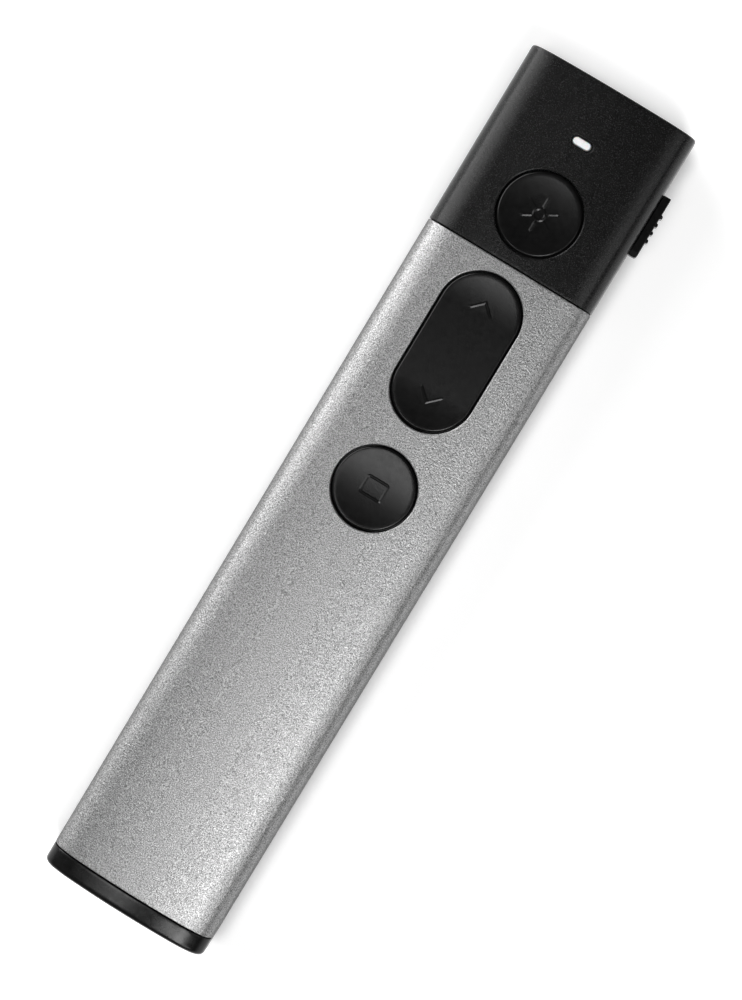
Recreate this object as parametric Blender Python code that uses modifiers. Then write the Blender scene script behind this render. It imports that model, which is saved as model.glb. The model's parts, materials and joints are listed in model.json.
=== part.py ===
"""Wireless presenter with a laser pointer: aluminium sleeve, moulded head, tail cap holding the receiver.

The presenter lies on its flat underside. +Y runs along it to the laser's end, +X is the side with the power
knob, +Z is up, and the origin is the middle of the underside. Lengths are in metres, angles in degrees.
"""

import math

import bmesh
import bpy
from mathutils import Matrix, Vector

# Outer form
BODY_LENGTH = 0.1324
BODY_WIDTH = 0.0260
SHOULDER_WIDTH_SHARE = 0.1346
SIDE_RADIUS = BODY_WIDTH * SHOULDER_WIDTH_SHARE
CROWN_RADIUS = 0.0610
UNDER_RADIUS = 0.0045
HEAD_LENGTH = 0.0276
CAP_LENGTH = 0.0029
SEAM = 0.00015
EDGE_BREAK = 0.00012

# Walls
SLEEVE_WALL = 0.0012
HEAD_WALL = 0.0013
FRONT_WALL = 0.0016
FRONT_EDGE = 0.0003
TRAY_WALL = 0.0008

# Clearances: a fit lies round what slides or is slipped in, a seat under what is soldered or glued on
FIT = 0.0002
SEAT = 0.0001
OVERRUN = 0.0010

# Keys
KEY_WIDTH_SHARE = 0.4673
KEY_HOLE_WIDTH = BODY_WIDTH * KEY_WIDTH_SHARE
ROCKER_HOLE_LENGTH = 0.0240
HOLE_CHAMFER = 0.00018
KEY_GAP = 0.00028
KEY_RECESS = 0.0001
KEY_FILLET = 0.0003
DISH_DEPTH = 0.00035
FLANGE_OVERHANG = 0.0006
FLANGE_THICKNESS = 0.0008
FLANGE_GAP = 0.0003
POST_RADIUS = 0.0012
POST_LENGTH = 0.0007
SEAM_TO_LASER_KEY = 0.0019
SEAM_TO_ROCKER = 0.0019
ROCKER_TO_SCREEN_KEY = 0.0037

# Rocker pins and their cradles
PIN_RADIUS = 0.00045
PIN_LENGTH = 0.0014
CRADLE_LENGTH = 0.0030
CRADLE_THICKNESS = 0.0011

# Snap domes
DOME_RADIUS = 0.0025
DOME_HEIGHT = 0.0004
DOME_METAL = 0.00012
DOME_SPREAD = 0.0072

# Key frame
FRAME_THICKNESS = 0.0008
FRAME_BORDER = 0.0015

# Screws
SCREW_HEAD_RADIUS = 0.0011
SCREW_HEAD_HEIGHT = 0.0005
SCREW_HEAD_EDGE = 0.00015
SCREW_RADIUS = 0.0006
SCREW_LENGTH = 0.0042
SCREW_INSET = 0.0010
BOSS_RADIUS = 0.0016

# Circuit board and what is soldered to it
BOARD_THICKNESS = 0.0008
LED_LENGTH = 0.0016
LED_WIDTH = 0.0010
LED_HEIGHT = 0.0006
CHIP_SIDE = 0.0060
CHIP_HEIGHT = 0.0009
CHIP_SETBACK = 0.0060
CRYSTAL_LENGTH = 0.0032
CRYSTAL_WIDTH = 0.0025
CRYSTAL_HEIGHT = 0.0008
CRYSTAL_SPACE = 0.0030
CHARGER_SIDE = 0.0030
CHARGER_SPACE = 0.0060
ANTENNA_LENGTH = 0.0070
ANTENNA_WIDTH = 0.0015
ANTENNA_HEIGHT = 0.0009
ANTENNA_SETBACK = 0.0016
CHIP_EDGE = 0.00015

# Indicator: a light guide in a slot across the head
INDICATOR_PLACE_SHARE = 0.3727
INDICATOR_LENGTH = 0.00315
INDICATOR_WIDTH = 0.0012
INDICATOR_GAP = 0.00015
INDICATOR_LIP = 0.0007
INDICATOR_FOOT = 0.0007

# Laser module
LASER_DIAMETER = 0.0055
LASER_LENGTH = 0.0100
BARREL_WALL = 0.0005
BARREL_LIP = 0.0006
BEAM_RADIUS = 0.0015
LENS_CENTRE = 0.0015
LENS_EDGE = 0.0008
DIODE_BASE = 0.0012
DIODE_CAN_RADIUS = 0.0015
DIODE_CAN_HEIGHT = 0.0018
DRIVER_THICKNESS = 0.0008
SADDLE_PLACE_SHARE = 0.2
SADDLE_THICKNESS = 0.0012
SADDLE_HALF_WIDTH = 0.0042
APERTURE_RADIUS = 0.0018
APERTURE_FLARE = 0.0007
WINDOW_RADIUS = 0.0025
WINDOW_THICKNESS = 0.0008

# Power switch and its knob
KNOB_SETBACK = 0.0131
KNOB_LENGTH = 0.0094
KNOB_HEIGHT = 0.0032
KNOB_PROUD = 0.00104
KNOB_ROUND = 0.00015
KNOB_RAMP = 0.0006
RIB_COUNT = 4
RIB_PITCH = 0.00127
RIB_RADIUS = 0.0003
STEM_LENGTH = 0.0036
STEM_HEIGHT = 0.0018
SLIDE_TRAVEL = 0.0020
SWITCH_LENGTH = 0.0068
SWITCH_DEPTH = 0.0034
SWITCH_HEIGHT = 0.0026
SWITCH_SETBACK = 0.0014
SWITCH_SLOT_DEPTH = 0.0010
NUB_WIDTH = 0.0012
NUB_HEIGHT = 0.0010
NUB_REACH = 0.0012
FORK_GAP = 0.0004

# Battery: it takes the length left between the receiver's bay and the key frame's screws
BATTERY_SPACE = 0.0012
BATTERY_ROUND = 0.0006
CONNECTOR_LENGTH = 0.0044
CONNECTOR_WIDTH = 0.0060
CONNECTOR_HEIGHT = 0.0026
CONNECTOR_SPACE = 0.0030
LEAD_RADIUS = 0.00045
LEAD_SPREAD = 0.0010

# Tail: cap, end frame, charging port and receiver
CAP_PLATE = 0.0016
CAP_FILLET = 0.0010
RIM_LENGTH = 0.0010
CAP_GAP = 0.0003
TAIL_FRAME = 0.0015
MAGNET_LENGTH = 0.0015
MAGNET_WALL = 0.0005
TAIL_HEAD_SHARE = 0.76
PORT_WIDTH = 0.0075
PORT_HEIGHT = 0.0025
PORT_LENGTH = 0.0050
PORT_METAL = 0.0003
PORT_TONGUE_WIDTH = 0.0040
PORT_TONGUE_THICKNESS = 0.0006
PLUG_WIDTH_SHARE = 0.46154
PLUG_WIDTH = BODY_WIDTH * PLUG_WIDTH_SHARE
GRIP_OVERHANG = 0.0005
GRIP_LENGTH = 0.0060
GRIP_ROUND = 0.0004
PLUG_HEIGHT = 0.0045
PLUG_LENGTH = 0.0120
PLUG_METAL = 0.0003
PLUG_WINDOW = 0.0022
PLUG_WINDOW_SPACE = 0.0052
PLUG_WINDOW_SETBACK = 0.0065
PLUG_TONGUE_THICKNESS = 0.0019
PLUG_TONGUE_SHARE = 0.8
JAW_LENGTH = 0.0050
JAW_THICKNESS = 0.0008

# Fineness of the round forms, in steps; an outline's are those of its lower edge, shoulder and half crown
OUTSIDE_STEPS = (6, 10, 5)
INSIDE_STEPS = (3, 5, 3)
KEY_STEPS = 24
GUIDE_STEPS = 8
DISH_STEPS = 5
FILLET_STEPS = 3
TURN_STEPS = 24
SMALL_TURN_STEPS = 16
ROD_STEPS = 16
LEAD_STEPS = 8
ARC_STEPS = 4

MERGE_DISTANCE = 0.00001
SMOOTH_ANGLE = 32


# Outline of the body


def side_centre_x():
    return BODY_WIDTH / 2 - SIDE_RADIUS


def crown_to_side():
    """How far the side arc's centre lies above the crown arc's centre."""
    return math.sqrt((CROWN_RADIUS - SIDE_RADIUS) ** 2 - side_centre_x() ** 2)


def crown_drop(x, inset=0.0):
    """How far the body's upper outline, moved in by inset, lies below its own crest at x."""
    crown, side = CROWN_RADIUS - inset, SIDE_RADIUS - inset
    if abs(x) * (CROWN_RADIUS - SIDE_RADIUS) <= crown * side_centre_x():
        return crown - math.sqrt(crown**2 - x**2)
    return crown - crown_to_side() - math.sqrt(side**2 - (abs(x) - side_centre_x()) ** 2)


# Levels, stacked up from the underside: tray, laser bay, board, domes, keys, top wall
OUTER_WALL = max(SLEEVE_WALL, HEAD_WALL)
TRAY_INSET = OUTER_WALL + FIT
BAY_INSET = TRAY_INSET + TRAY_WALL
FLOOR_Z = BAY_INSET
BAY_MIDDLE_Z = FLOOR_Z + FIT + LASER_DIAMETER / 2
BOARD_Z = BAY_MIDDLE_Z + LASER_DIAMETER / 2 + FIT
BOARD_TOP = BOARD_Z + BOARD_THICKNESS
DOME_Z = BOARD_TOP + SEAT
FRAME_TOP = BOARD_TOP + SEAT + FRAME_THICKNESS
POST_Z = DOME_Z + DOME_HEIGHT + SEAT
FLANGE_Z = POST_Z + POST_LENGTH
FLANGE_TOP = FLANGE_Z + FLANGE_THICKNESS
KEY_RADIUS = KEY_HOLE_WIDTH / 2 - KEY_GAP
FLANGE_RADIUS = KEY_HOLE_WIDTH / 2 + FLANGE_OVERHANG
BODY_HEIGHT = FLANGE_TOP + FLANGE_GAP + crown_drop(FLANGE_RADIUS, OUTER_WALL) + OUTER_WALL
SHOULDER_Z = BODY_HEIGHT - CROWN_RADIUS + crown_to_side()
PIN_Z = FRAME_TOP + SEAT + PIN_RADIUS
SLIDE_Z = BOARD_Z - SEAT - SWITCH_HEIGHT / 2

# Places along the body
FRONT_Y = BODY_LENGTH / 2
FRONT_INSIDE_Y = FRONT_Y - FRONT_WALL
SEAM_Y = FRONT_Y - HEAD_LENGTH
LASER_KEY_Y = SEAM_Y + SEAM_TO_LASER_KEY + KEY_HOLE_WIDTH / 2
ROCKER_Y = SEAM_Y - SEAM_TO_ROCKER - ROCKER_HOLE_LENGTH / 2
SCREEN_KEY_Y = ROCKER_Y - ROCKER_HOLE_LENGTH / 2 - ROCKER_TO_SCREEN_KEY - KEY_HOLE_WIDTH / 2
LASER_HOLE_END_Y = LASER_KEY_Y + KEY_HOLE_WIDTH / 2
INDICATOR_Y = LASER_HOLE_END_Y + (FRONT_Y - LASER_HOLE_END_Y) * INDICATOR_PLACE_SHARE
FRAME_SCREW_REACH = ROCKER_HOLE_LENGTH / 2 - SCREW_INSET
KNOB_Y = FRONT_Y - KNOB_SETBACK
SWITCH_Y = KNOB_Y - SLIDE_TRAVEL / 2
TAIL_Y = -BODY_LENGTH / 2
CAP_SEAM_Y = TAIL_Y + CAP_LENGTH
CAP_INSIDE_Y = TAIL_Y + CAP_PLATE
RIM_END_Y = CAP_SEAM_Y + RIM_LENGTH
TAIL_FRAME_Y = RIM_END_Y + CAP_GAP
TRAY_TAIL_Y = TAIL_FRAME_Y + TAIL_FRAME + SEAT
TRAY_FRONT_Y = FRONT_INSIDE_Y - FIT
BARREL_FRONT_Y = TRAY_FRONT_Y
BARREL_BACK_Y = BARREL_FRONT_Y - LASER_LENGTH
GRIP_Y = CAP_INSIDE_Y + SEAT
PLUG_Y = GRIP_Y + GRIP_LENGTH + SEAT
PLUG_TIP_Y = PLUG_Y + PLUG_LENGTH
RECEIVER_TRAVEL = JAW_LENGTH
RECEIVER_BAY_END_Y = PLUG_TIP_Y + RECEIVER_TRAVEL + FIT
BATTERY_Y = RECEIVER_BAY_END_Y + TRAY_WALL + FIT
BATTERY_BAY_END_Y = ROCKER_Y - FRAME_SCREW_REACH - BOSS_RADIUS - BATTERY_SPACE - TRAY_WALL
BATTERY_END_Y = BATTERY_BAY_END_Y - FIT

# Places across the body
SCREW_X = FLANGE_RADIUS + FIT + SCREW_HEAD_RADIUS
CRADLE_X = FLANGE_RADIUS + FIT + SEAT
SWITCH_X = BODY_WIDTH / 2 - BAY_INSET - SWITCH_SETBACK
GRIP_WIDTH = PLUG_WIDTH + 2 * GRIP_OVERHANG
JAW_X = GRIP_WIDTH / 2 + FIT
JAW_OUTER_X = JAW_X + JAW_THICKNESS
RIM_INNER_X = BODY_WIDTH / 2 - BAY_INSET
MAGNET_X = (JAW_OUTER_X + RIM_INNER_X) / 2
MAGNET_RADIUS = (RIM_INNER_X - JAW_OUTER_X) / 2 - FIT
TAIL_BOSS_RADIUS = MAGNET_RADIUS
TAIL_HEAD_RADIUS = MAGNET_RADIUS * TAIL_HEAD_SHARE
BATTERY_FLOOR_Z = FLOOR_Z + SEAT


def half_width(z, inset):
    """Half the body's width at height z, measured to its outline moved in by inset."""
    if z < UNDER_RADIUS:
        under = UNDER_RADIUS - inset
        return BODY_WIDTH / 2 - UNDER_RADIUS + math.sqrt(under**2 - (UNDER_RADIUS - z) ** 2)
    if z <= SHOULDER_Z:
        return BODY_WIDTH / 2 - inset
    return side_centre_x() + math.sqrt((SIDE_RADIUS - inset) ** 2 - (z - SHOULDER_Z) ** 2)


def arc(centre_x, centre_z, radius, start, end, steps):
    """Points on an arc, both ends included."""
    angles = [math.radians(start + (end - start) * i / steps) for i in range(steps + 1)]
    return [(centre_x + radius * math.cos(a), centre_z + radius * math.sin(a)) for a in angles]


def section(y, inset, fineness=OUTSIDE_STEPS):
    """The outline at y, moved in by inset: flat underside, upright sides, round shoulders, crowned top."""
    under_steps, side_steps, crown_steps = fineness
    meeting = math.degrees(math.atan2(crown_to_side(), side_centre_x()))
    right = arc(BODY_WIDTH / 2 - UNDER_RADIUS, UNDER_RADIUS, UNDER_RADIUS - inset, -90, 0, under_steps)
    right += arc(side_centre_x(), SHOULDER_Z, SIDE_RADIUS - inset, 0, meeting, side_steps)
    crown = arc(0, BODY_HEIGHT - CROWN_RADIUS, CROWN_RADIUS - inset, meeting, 90, crown_steps)
    right += crown[1:]
    left = [(-x, z) for x, z in reversed(right[:-1])]
    return [Vector((x, y, z)) for x, z in right + left]


# Mesh builders


def inner_loft(places, inset):
    """A block that fills the body's outline, moved in by inset, between two places along it."""
    return loft([section(y, inset, INSIDE_STEPS) for y in places])


def loft(rings):
    """A closed skin through rings of equally many points, with a face over each end."""
    bm = bmesh.new()
    loops = [[bm.verts.new(point) for point in ring] for ring in rings]
    for first, second in zip(loops, loops[1:]):
        for i in range(len(first)):
            j = (i + 1) % len(first)
            bm.faces.new((first[i], first[j], second[j], second[i]))
    bm.faces.new(loops[0])
    bm.faces.new(loops[-1])
    bmesh.ops.recalc_face_normals(bm, faces=bm.faces)
    return bm


def box(low, high):
    bm = bmesh.new()
    size = Vector(high) - Vector(low)
    bmesh.ops.create_cube(bm, size=1)
    bmesh.ops.scale(bm, vec=size, verts=bm.verts)
    bmesh.ops.translate(bm, vec=Vector(low) + size / 2, verts=bm.verts)
    return bm


def side_box(side, across, along, up):
    """A box on one side of the body: its ranges from the middle outwards, along the body, and upwards."""
    near, far = sorted((side * across[0], side * across[1]))
    return box((near, along[0], up[0]), (far, along[1], up[1]))


def rod(start, end, radius, steps=ROD_STEPS):
    """A cylinder from start to end."""
    bm = bmesh.new()
    run = Vector(end) - Vector(start)
    bmesh.ops.create_cone(
        bm, cap_ends=True, segments=steps, radius1=radius, radius2=radius, depth=run.length
    )
    turn = run.to_track_quat("Z", "Y").to_matrix().to_4x4()
    middle = Matrix.Translation(Vector(start) + run / 2)
    bmesh.ops.transform(bm, matrix=middle @ turn, verts=bm.verts)
    return bm


def oval(centre_y, straight, radius):
    """Points round a stadium along the body: two half circles joined by runs of length straight."""
    points = []
    for side in (1, -1):
        last = KEY_STEPS if straight == 0 else KEY_STEPS + 1
        for i in range(last):
            angle = math.radians(180 * i / KEY_STEPS)
            along = side * (straight / 2 + radius * math.sin(angle))
            points.append((side * radius * math.cos(angle), centre_y + along))
    return points


def guide_outline(radius):
    """Points round the indicator's stadium, which lies across the body."""
    straight = INDICATOR_LENGTH - INDICATOR_WIDTH
    points = []
    for side in (1, -1):
        for i in range(GUIDE_STEPS + 1):
            angle = math.radians(180 * i / GUIDE_STEPS)
            sideways = side * (straight / 2 + radius * math.sin(angle))
            points.append((sideways, INDICATOR_Y - side * radius * math.cos(angle)))
    return points


def level_ring(outline, z):
    return [Vector((x, y, z)) for x, y in outline]


def crown_ring(outline, depth):
    """The outline laid on the body's crowned top, depth below it."""
    return [Vector((x, y, BODY_HEIGHT - crown_drop(x) - depth)) for x, y in outline]


# Scene, objects and materials


def clear_scene():
    for obj in list(bpy.data.objects):
        bpy.data.objects.remove(obj, do_unlink=True)


def collection(name):
    made = bpy.data.collections.new(name)
    bpy.context.scene.collection.children.link(made)
    return made


def finish(name, colour, roughness, metallic=0.0):
    material = bpy.data.materials.new(name)
    material.use_nodes = True
    shader = material.node_tree.nodes["Principled BSDF"]
    shader.inputs["Base Color"].default_value = (*colour, 1)
    shader.inputs["Roughness"].default_value = roughness
    shader.inputs["Metallic"].default_value = metallic
    return material


def add_object(name, bm, group):
    mesh = bpy.data.meshes.new(name)
    bm.to_mesh(mesh)
    bm.free()
    mesh.shade_smooth()
    mesh.set_sharp_from_angle(angle=math.radians(SMOOTH_ANGLE))
    obj = bpy.data.objects.new(name, mesh)
    group.objects.link(obj)
    return obj


def piece(name, bm, look):
    """A sub-part of the presenter."""
    obj = add_object(name, bm, PRESENTER)
    obj.data.materials.append(LOOKS[look])
    return obj


def helper(name, bm):
    """A shape that only cuts or completes a piece."""
    return as_helper(add_object(name, bm, CUTTERS))


def as_helper(obj):
    obj.hide_render = True
    obj.display_type = "WIRE"
    return obj


def combine(obj, other, operation):
    modifier = obj.modifiers.new(other.name, "BOOLEAN")
    modifier.operation = operation
    modifier.solver = "EXACT"
    modifier.object = other


def cut(obj, *others):
    for other in others:
        combine(obj, other, "DIFFERENCE")


def join(obj, *others):
    for other in others:
        combine(obj, other, "UNION")


def soften(obj, width, limit=40):
    """Round every edge sharper than the limit."""
    modifier = obj.modifiers.new("round", "BEVEL")
    modifier.width = width
    modifier.segments = 2
    modifier.limit_method = "ANGLE"
    modifier.angle_limit = math.radians(limit)


def pivot_at(obj, point):
    """Moves the object's origin, and not its shape, to the point that its joint turns or slides about."""
    obj.data.transform(Matrix.Translation(-Vector(point)))
    obj.location = point


def turned(name, profile, group, place, turn, steps):
    """A profile of (radius, height) points, from the top of its axis round the outside, spun about Z."""
    bm = bmesh.new()
    points = [bm.verts.new((radius, 0, height)) for radius, height in profile]
    for first, second in zip(points, points[1:]):
        bm.edges.new((first, second))
    obj = add_object(name, bm, group)
    screw = obj.modifiers.new("turn", "SCREW")
    screw.steps = steps
    screw.render_steps = steps
    screw.use_merge_vertices = True
    screw.merge_threshold = MERGE_DISTANCE
    obj.location = place
    obj.rotation_euler = [math.radians(angle) for angle in turn]
    return obj


def turned_piece(name, profile, look, place, turn=(0, 0, 0), steps=SMALL_TURN_STEPS):
    obj = turned(name, profile, PRESENTER, place, turn, steps)
    obj.data.materials.append(LOOKS[look])
    return obj


def turned_helper(name, profile, place, turn=(0, 0, 0), steps=TURN_STEPS):
    return as_helper(turned(name, profile, CUTTERS, place, turn, steps))


# Shells


def top_hole(name, wall, flare):
    """A cutter up through the top wall, opening at 45 degrees where it meets the crowned surface."""
    rings = [level_ring(wall, FRAME_TOP), crown_ring(wall, HOLE_CHAMFER), crown_ring(flare, -OVERRUN)]
    return helper(name, loft(rings))


def key_hole(name, centre_y, straight):
    radius = KEY_HOLE_WIDTH / 2
    wall = oval(centre_y, straight, radius)
    return top_hole(name, wall, oval(centre_y, straight, radius + HOLE_CHAMFER + OVERRUN))


def make_sleeve():
    tail, front = CAP_SEAM_Y + SEAM / 2, SEAM_Y - SEAM / 2
    outside = [
        section(tail, EDGE_BREAK),
        section(tail + EDGE_BREAK, 0),
        section(front - EDGE_BREAK, 0),
        section(front, EDGE_BREAK),
    ]
    sleeve = piece("sleeve", loft(outside), "aluminium")
    ends = (tail - OVERRUN, front + OVERRUN)
    cut(
        sleeve,
        helper("sleeve bore", inner_loft(ends, SLEEVE_WALL)),
        key_hole("rocker hole", ROCKER_Y, ROCKER_HOLE_LENGTH - KEY_HOLE_WIDTH),
        key_hole("screen key hole", SCREEN_KEY_Y, 0),
    )


def make_head():
    back = SEAM_Y + SEAM / 2
    outside = [
        section(back, EDGE_BREAK),
        section(back + EDGE_BREAK, 0),
        section(FRONT_Y - FRONT_EDGE, 0),
        section(FRONT_Y, FRONT_EDGE),
    ]
    head = piece("head_shell", loft(outside), "black plastic")
    inside = helper("head inside", inner_loft((back - OVERRUN, FRONT_INSIDE_Y), HEAD_WALL))
    slot_half = INDICATOR_WIDTH / 2 + INDICATOR_GAP
    slot_flare = guide_outline(slot_half + HOLE_CHAMFER + OVERRUN)
    low_z, high_z = SLIDE_Z - STEM_HEIGHT / 2 - FIT, SLIDE_Z + STEM_HEIGHT / 2 + FIT
    knob_slot = box(
        (BODY_WIDTH / 2 - HEAD_WALL - OVERRUN, KNOB_Y - SLIDE_TRAVEL - STEM_LENGTH / 2 - FIT, low_z),
        (BODY_WIDTH / 2 + OVERRUN, KNOB_Y + STEM_LENGTH / 2 + FIT, high_z),
    )
    cut(
        head,
        inside,
        key_hole("laser key hole", LASER_KEY_Y, 0),
        top_hole("indicator slot", guide_outline(slot_half), slot_flare),
        helper("knob slot", knob_slot),
        beam_passage(),
    )


def beam_passage():
    """The seat of the laser's window, and the flared aperture in front of it."""
    seat = WINDOW_THICKNESS + 2 * SEAT
    depth = FRONT_WALL
    outer = APERTURE_RADIUS + APERTURE_FLARE
    profile = [
        (0, depth + OVERRUN),
        (outer + OVERRUN, depth + OVERRUN),
        (APERTURE_RADIUS, depth - APERTURE_FLARE),
        (APERTURE_RADIUS, seat),
        (WINDOW_RADIUS + SEAT, seat),
        (WINDOW_RADIUS + SEAT, -OVERRUN),
        (0, -OVERRUN),
    ]
    return turned_helper("beam passage", profile, (0, FRONT_INSIDE_Y, BAY_MIDDLE_Z), (-90, 0, 0))


def make_windows():
    rim = [(0, WINDOW_THICKNESS), (WINDOW_RADIUS, WINDOW_THICKNESS), (WINDOW_RADIUS, 0), (0, 0)]
    place = (0, FRONT_INSIDE_Y + SEAT, BAY_MIDDLE_Z)
    turned_piece("laser_window", rim, "clear", place, (-90, 0, 0), TURN_STEPS)
    column = guide_outline(INDICATOR_WIDTH / 2)
    foot = guide_outline(INDICATOR_WIDTH / 2 + INDICATOR_LIP)
    rim_x = INDICATOR_LENGTH / 2 + INDICATOR_LIP
    foot_top = BODY_HEIGHT - HEAD_WALL - crown_drop(rim_x, HEAD_WALL) - SEAT
    tip = BOARD_TOP + SEAT + LED_HEIGHT + FIT
    guide = [
        level_ring(column, tip),
        level_ring(column, foot_top - INDICATOR_FOOT),
        level_ring(foot, foot_top - INDICATOR_FOOT),
        level_ring(foot, foot_top),
        level_ring(column, foot_top),
        crown_ring(column, SEAT),
    ]
    piece("indicator_window", loft(guide), "white diffuser")


# Keys


def key_body(centre_y, straight):
    """Flange, neck, rounded edge and dished top of a key, as rings round its middle."""
    flange = oval(centre_y, straight, FLANGE_RADIUS)
    rings = [level_ring(flange, FLANGE_Z), level_ring(flange, FLANGE_TOP)]
    rings.append(level_ring(oval(centre_y, straight, KEY_RADIUS), FLANGE_TOP))
    for i in range(FILLET_STEPS + 1):
        angle = math.radians(90 * i / FILLET_STEPS)
        inset = KEY_FILLET * (1 - math.cos(angle))
        depth = KEY_RECESS + KEY_FILLET * (1 - math.sin(angle))
        rings.append(crown_ring(oval(centre_y, straight, KEY_RADIUS - inset), depth))
    dish_radius = KEY_RADIUS - KEY_FILLET
    for i in range(1, DISH_STEPS):
        share = i / DISH_STEPS
        depth = KEY_RECESS + DISH_DEPTH * (1 - (1 - share) ** 2)
        rings.append(crown_ring(oval(centre_y, straight, dish_radius * (1 - share)), depth))
    return loft(rings)


def key_post(name, y):
    overlap_z = FLANGE_Z + FLANGE_THICKNESS / 2
    return helper(name, rod((0, y, POST_Z), (0, y, overlap_z), POST_RADIUS))


def make_round_key(name, centre_y):
    key = piece(name, key_body(centre_y, 0), "satin key")
    pivot_at(key, (0, centre_y, FLANGE_Z))
    join(key, key_post(name + " post", centre_y))


def make_rocker():
    rocker = piece("rocker_key", key_body(ROCKER_Y, ROCKER_HOLE_LENGTH - KEY_HOLE_WIDTH), "satin key")
    pivot_at(rocker, (0, ROCKER_Y, PIN_Z))
    join(
        rocker,
        key_post("next post", ROCKER_Y + DOME_SPREAD),
        key_post("previous post", ROCKER_Y - DOME_SPREAD),
    )
    for side, label in ((1, "right"), (-1, "left")):
        inner = side * (FLANGE_RADIUS - PIN_LENGTH)
        outer = side * (CRADLE_X + CRADLE_THICKNESS)
        pin = rod((inner, ROCKER_Y, PIN_Z), (outer, ROCKER_Y, PIN_Z), PIN_RADIUS)
        join(rocker, helper(f"{label} pin", pin))


def make_dome(name, y):
    """A thin metal cap, open below, that snaps through when its key is pressed."""
    half = DOME_RADIUS
    crown = DOME_HEIGHT
    bend = (half**2 + crown**2) / (2 * crown)
    outer, inner = [], []
    for i in range(ARC_STEPS + 1):
        radius = half * i / ARC_STEPS
        outer.append((radius, crown - bend + math.sqrt(bend**2 - radius**2)))
        under = (half - 2 * DOME_METAL) * i / ARC_STEPS
        inner.append((under, crown - DOME_METAL - bend + math.sqrt(bend**2 - under**2)))
    inner = [(radius, max(height, 0)) for radius, height in reversed(inner)]
    turned_piece(name, outer + inner, "spring metal", (0, y, DOME_Z))


def make_domes():
    make_dome("laser_dome", LASER_KEY_Y)
    make_dome("next_dome", ROCKER_Y + DOME_SPREAD)
    make_dome("previous_dome", ROCKER_Y - DOME_SPREAD)
    make_dome("screen_dome", SCREEN_KEY_Y)


def frame_screw_places():
    ends = (ROCKER_Y + FRAME_SCREW_REACH, ROCKER_Y - FRAME_SCREW_REACH)
    return [(side * SCREW_X, y) for y in ends for side in (-1, 1)]


def board_screw_places():
    y = RECEIVER_BAY_END_Y - BOSS_RADIUS
    return [(-SCREW_X, y), (SCREW_X, y)]


def make_key_frame():
    """A plate round the rocker and the screen key, with an open cradle for each of the rocker's pins."""
    half = half_width(FRAME_TOP, TRAY_INSET)
    straight = ROCKER_HOLE_LENGTH - KEY_HOLE_WIDTH
    opening = FLANGE_RADIUS + FIT
    tail = SCREEN_KEY_Y - opening - FRAME_BORDER
    front = ROCKER_Y + straight / 2 + opening + FRAME_BORDER
    bottom = BOARD_TOP + SEAT
    frame = piece("key_frame", box((-half, tail, bottom), (half, front, FRAME_TOP)), "black plastic")
    low, high = bottom - OVERRUN, FRAME_TOP + OVERRUN
    rocker_opening = loft([level_ring(oval(ROCKER_Y, straight, opening), z) for z in (low, high)])
    screen_opening = loft([level_ring(oval(SCREEN_KEY_Y, 0, opening), z) for z in (low, high)])
    cut(frame, helper("rocker opening", rocker_opening), helper("screen opening", screen_opening))
    for side, label in ((1, "right"), (-1, "left")):
        across = (CRADLE_X, CRADLE_X + CRADLE_THICKNESS)
        along = (ROCKER_Y - CRADLE_LENGTH / 2, ROCKER_Y + CRADLE_LENGTH / 2)
        up = (bottom + FRAME_THICKNESS / 2, PIN_Z + PIN_RADIUS / 2)
        join(frame, helper(f"{label} cradle", side_box(side, across, along, up)))
        ends = (side * (CRADLE_X - OVERRUN / 2), side * (CRADLE_X + CRADLE_THICKNESS + OVERRUN))
        groove = [[Vector((x, ROCKER_Y + y, z)) for y, z in notch_outline()] for x in ends]
        cut(frame, helper(f"{label} cradle notch", loft(groove)))
    for index, (x, y) in enumerate(frame_screw_places()):
        hole = rod((x, y, low), (x, y, high), SCREW_RADIUS + SEAT)
        cut(frame, helper(f"frame screw hole {index}", hole))


def notch_outline():
    """An open-topped groove for a pin, half round at its foot."""
    radius = PIN_RADIUS + SEAT
    foot = arc(0, PIN_Z, radius, -180, 0, ROD_STEPS // 2)
    return foot + [(radius, PIN_Z + OVERRUN), (-radius, PIN_Z + OVERRUN)]


# Tray, board and electronics


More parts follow.
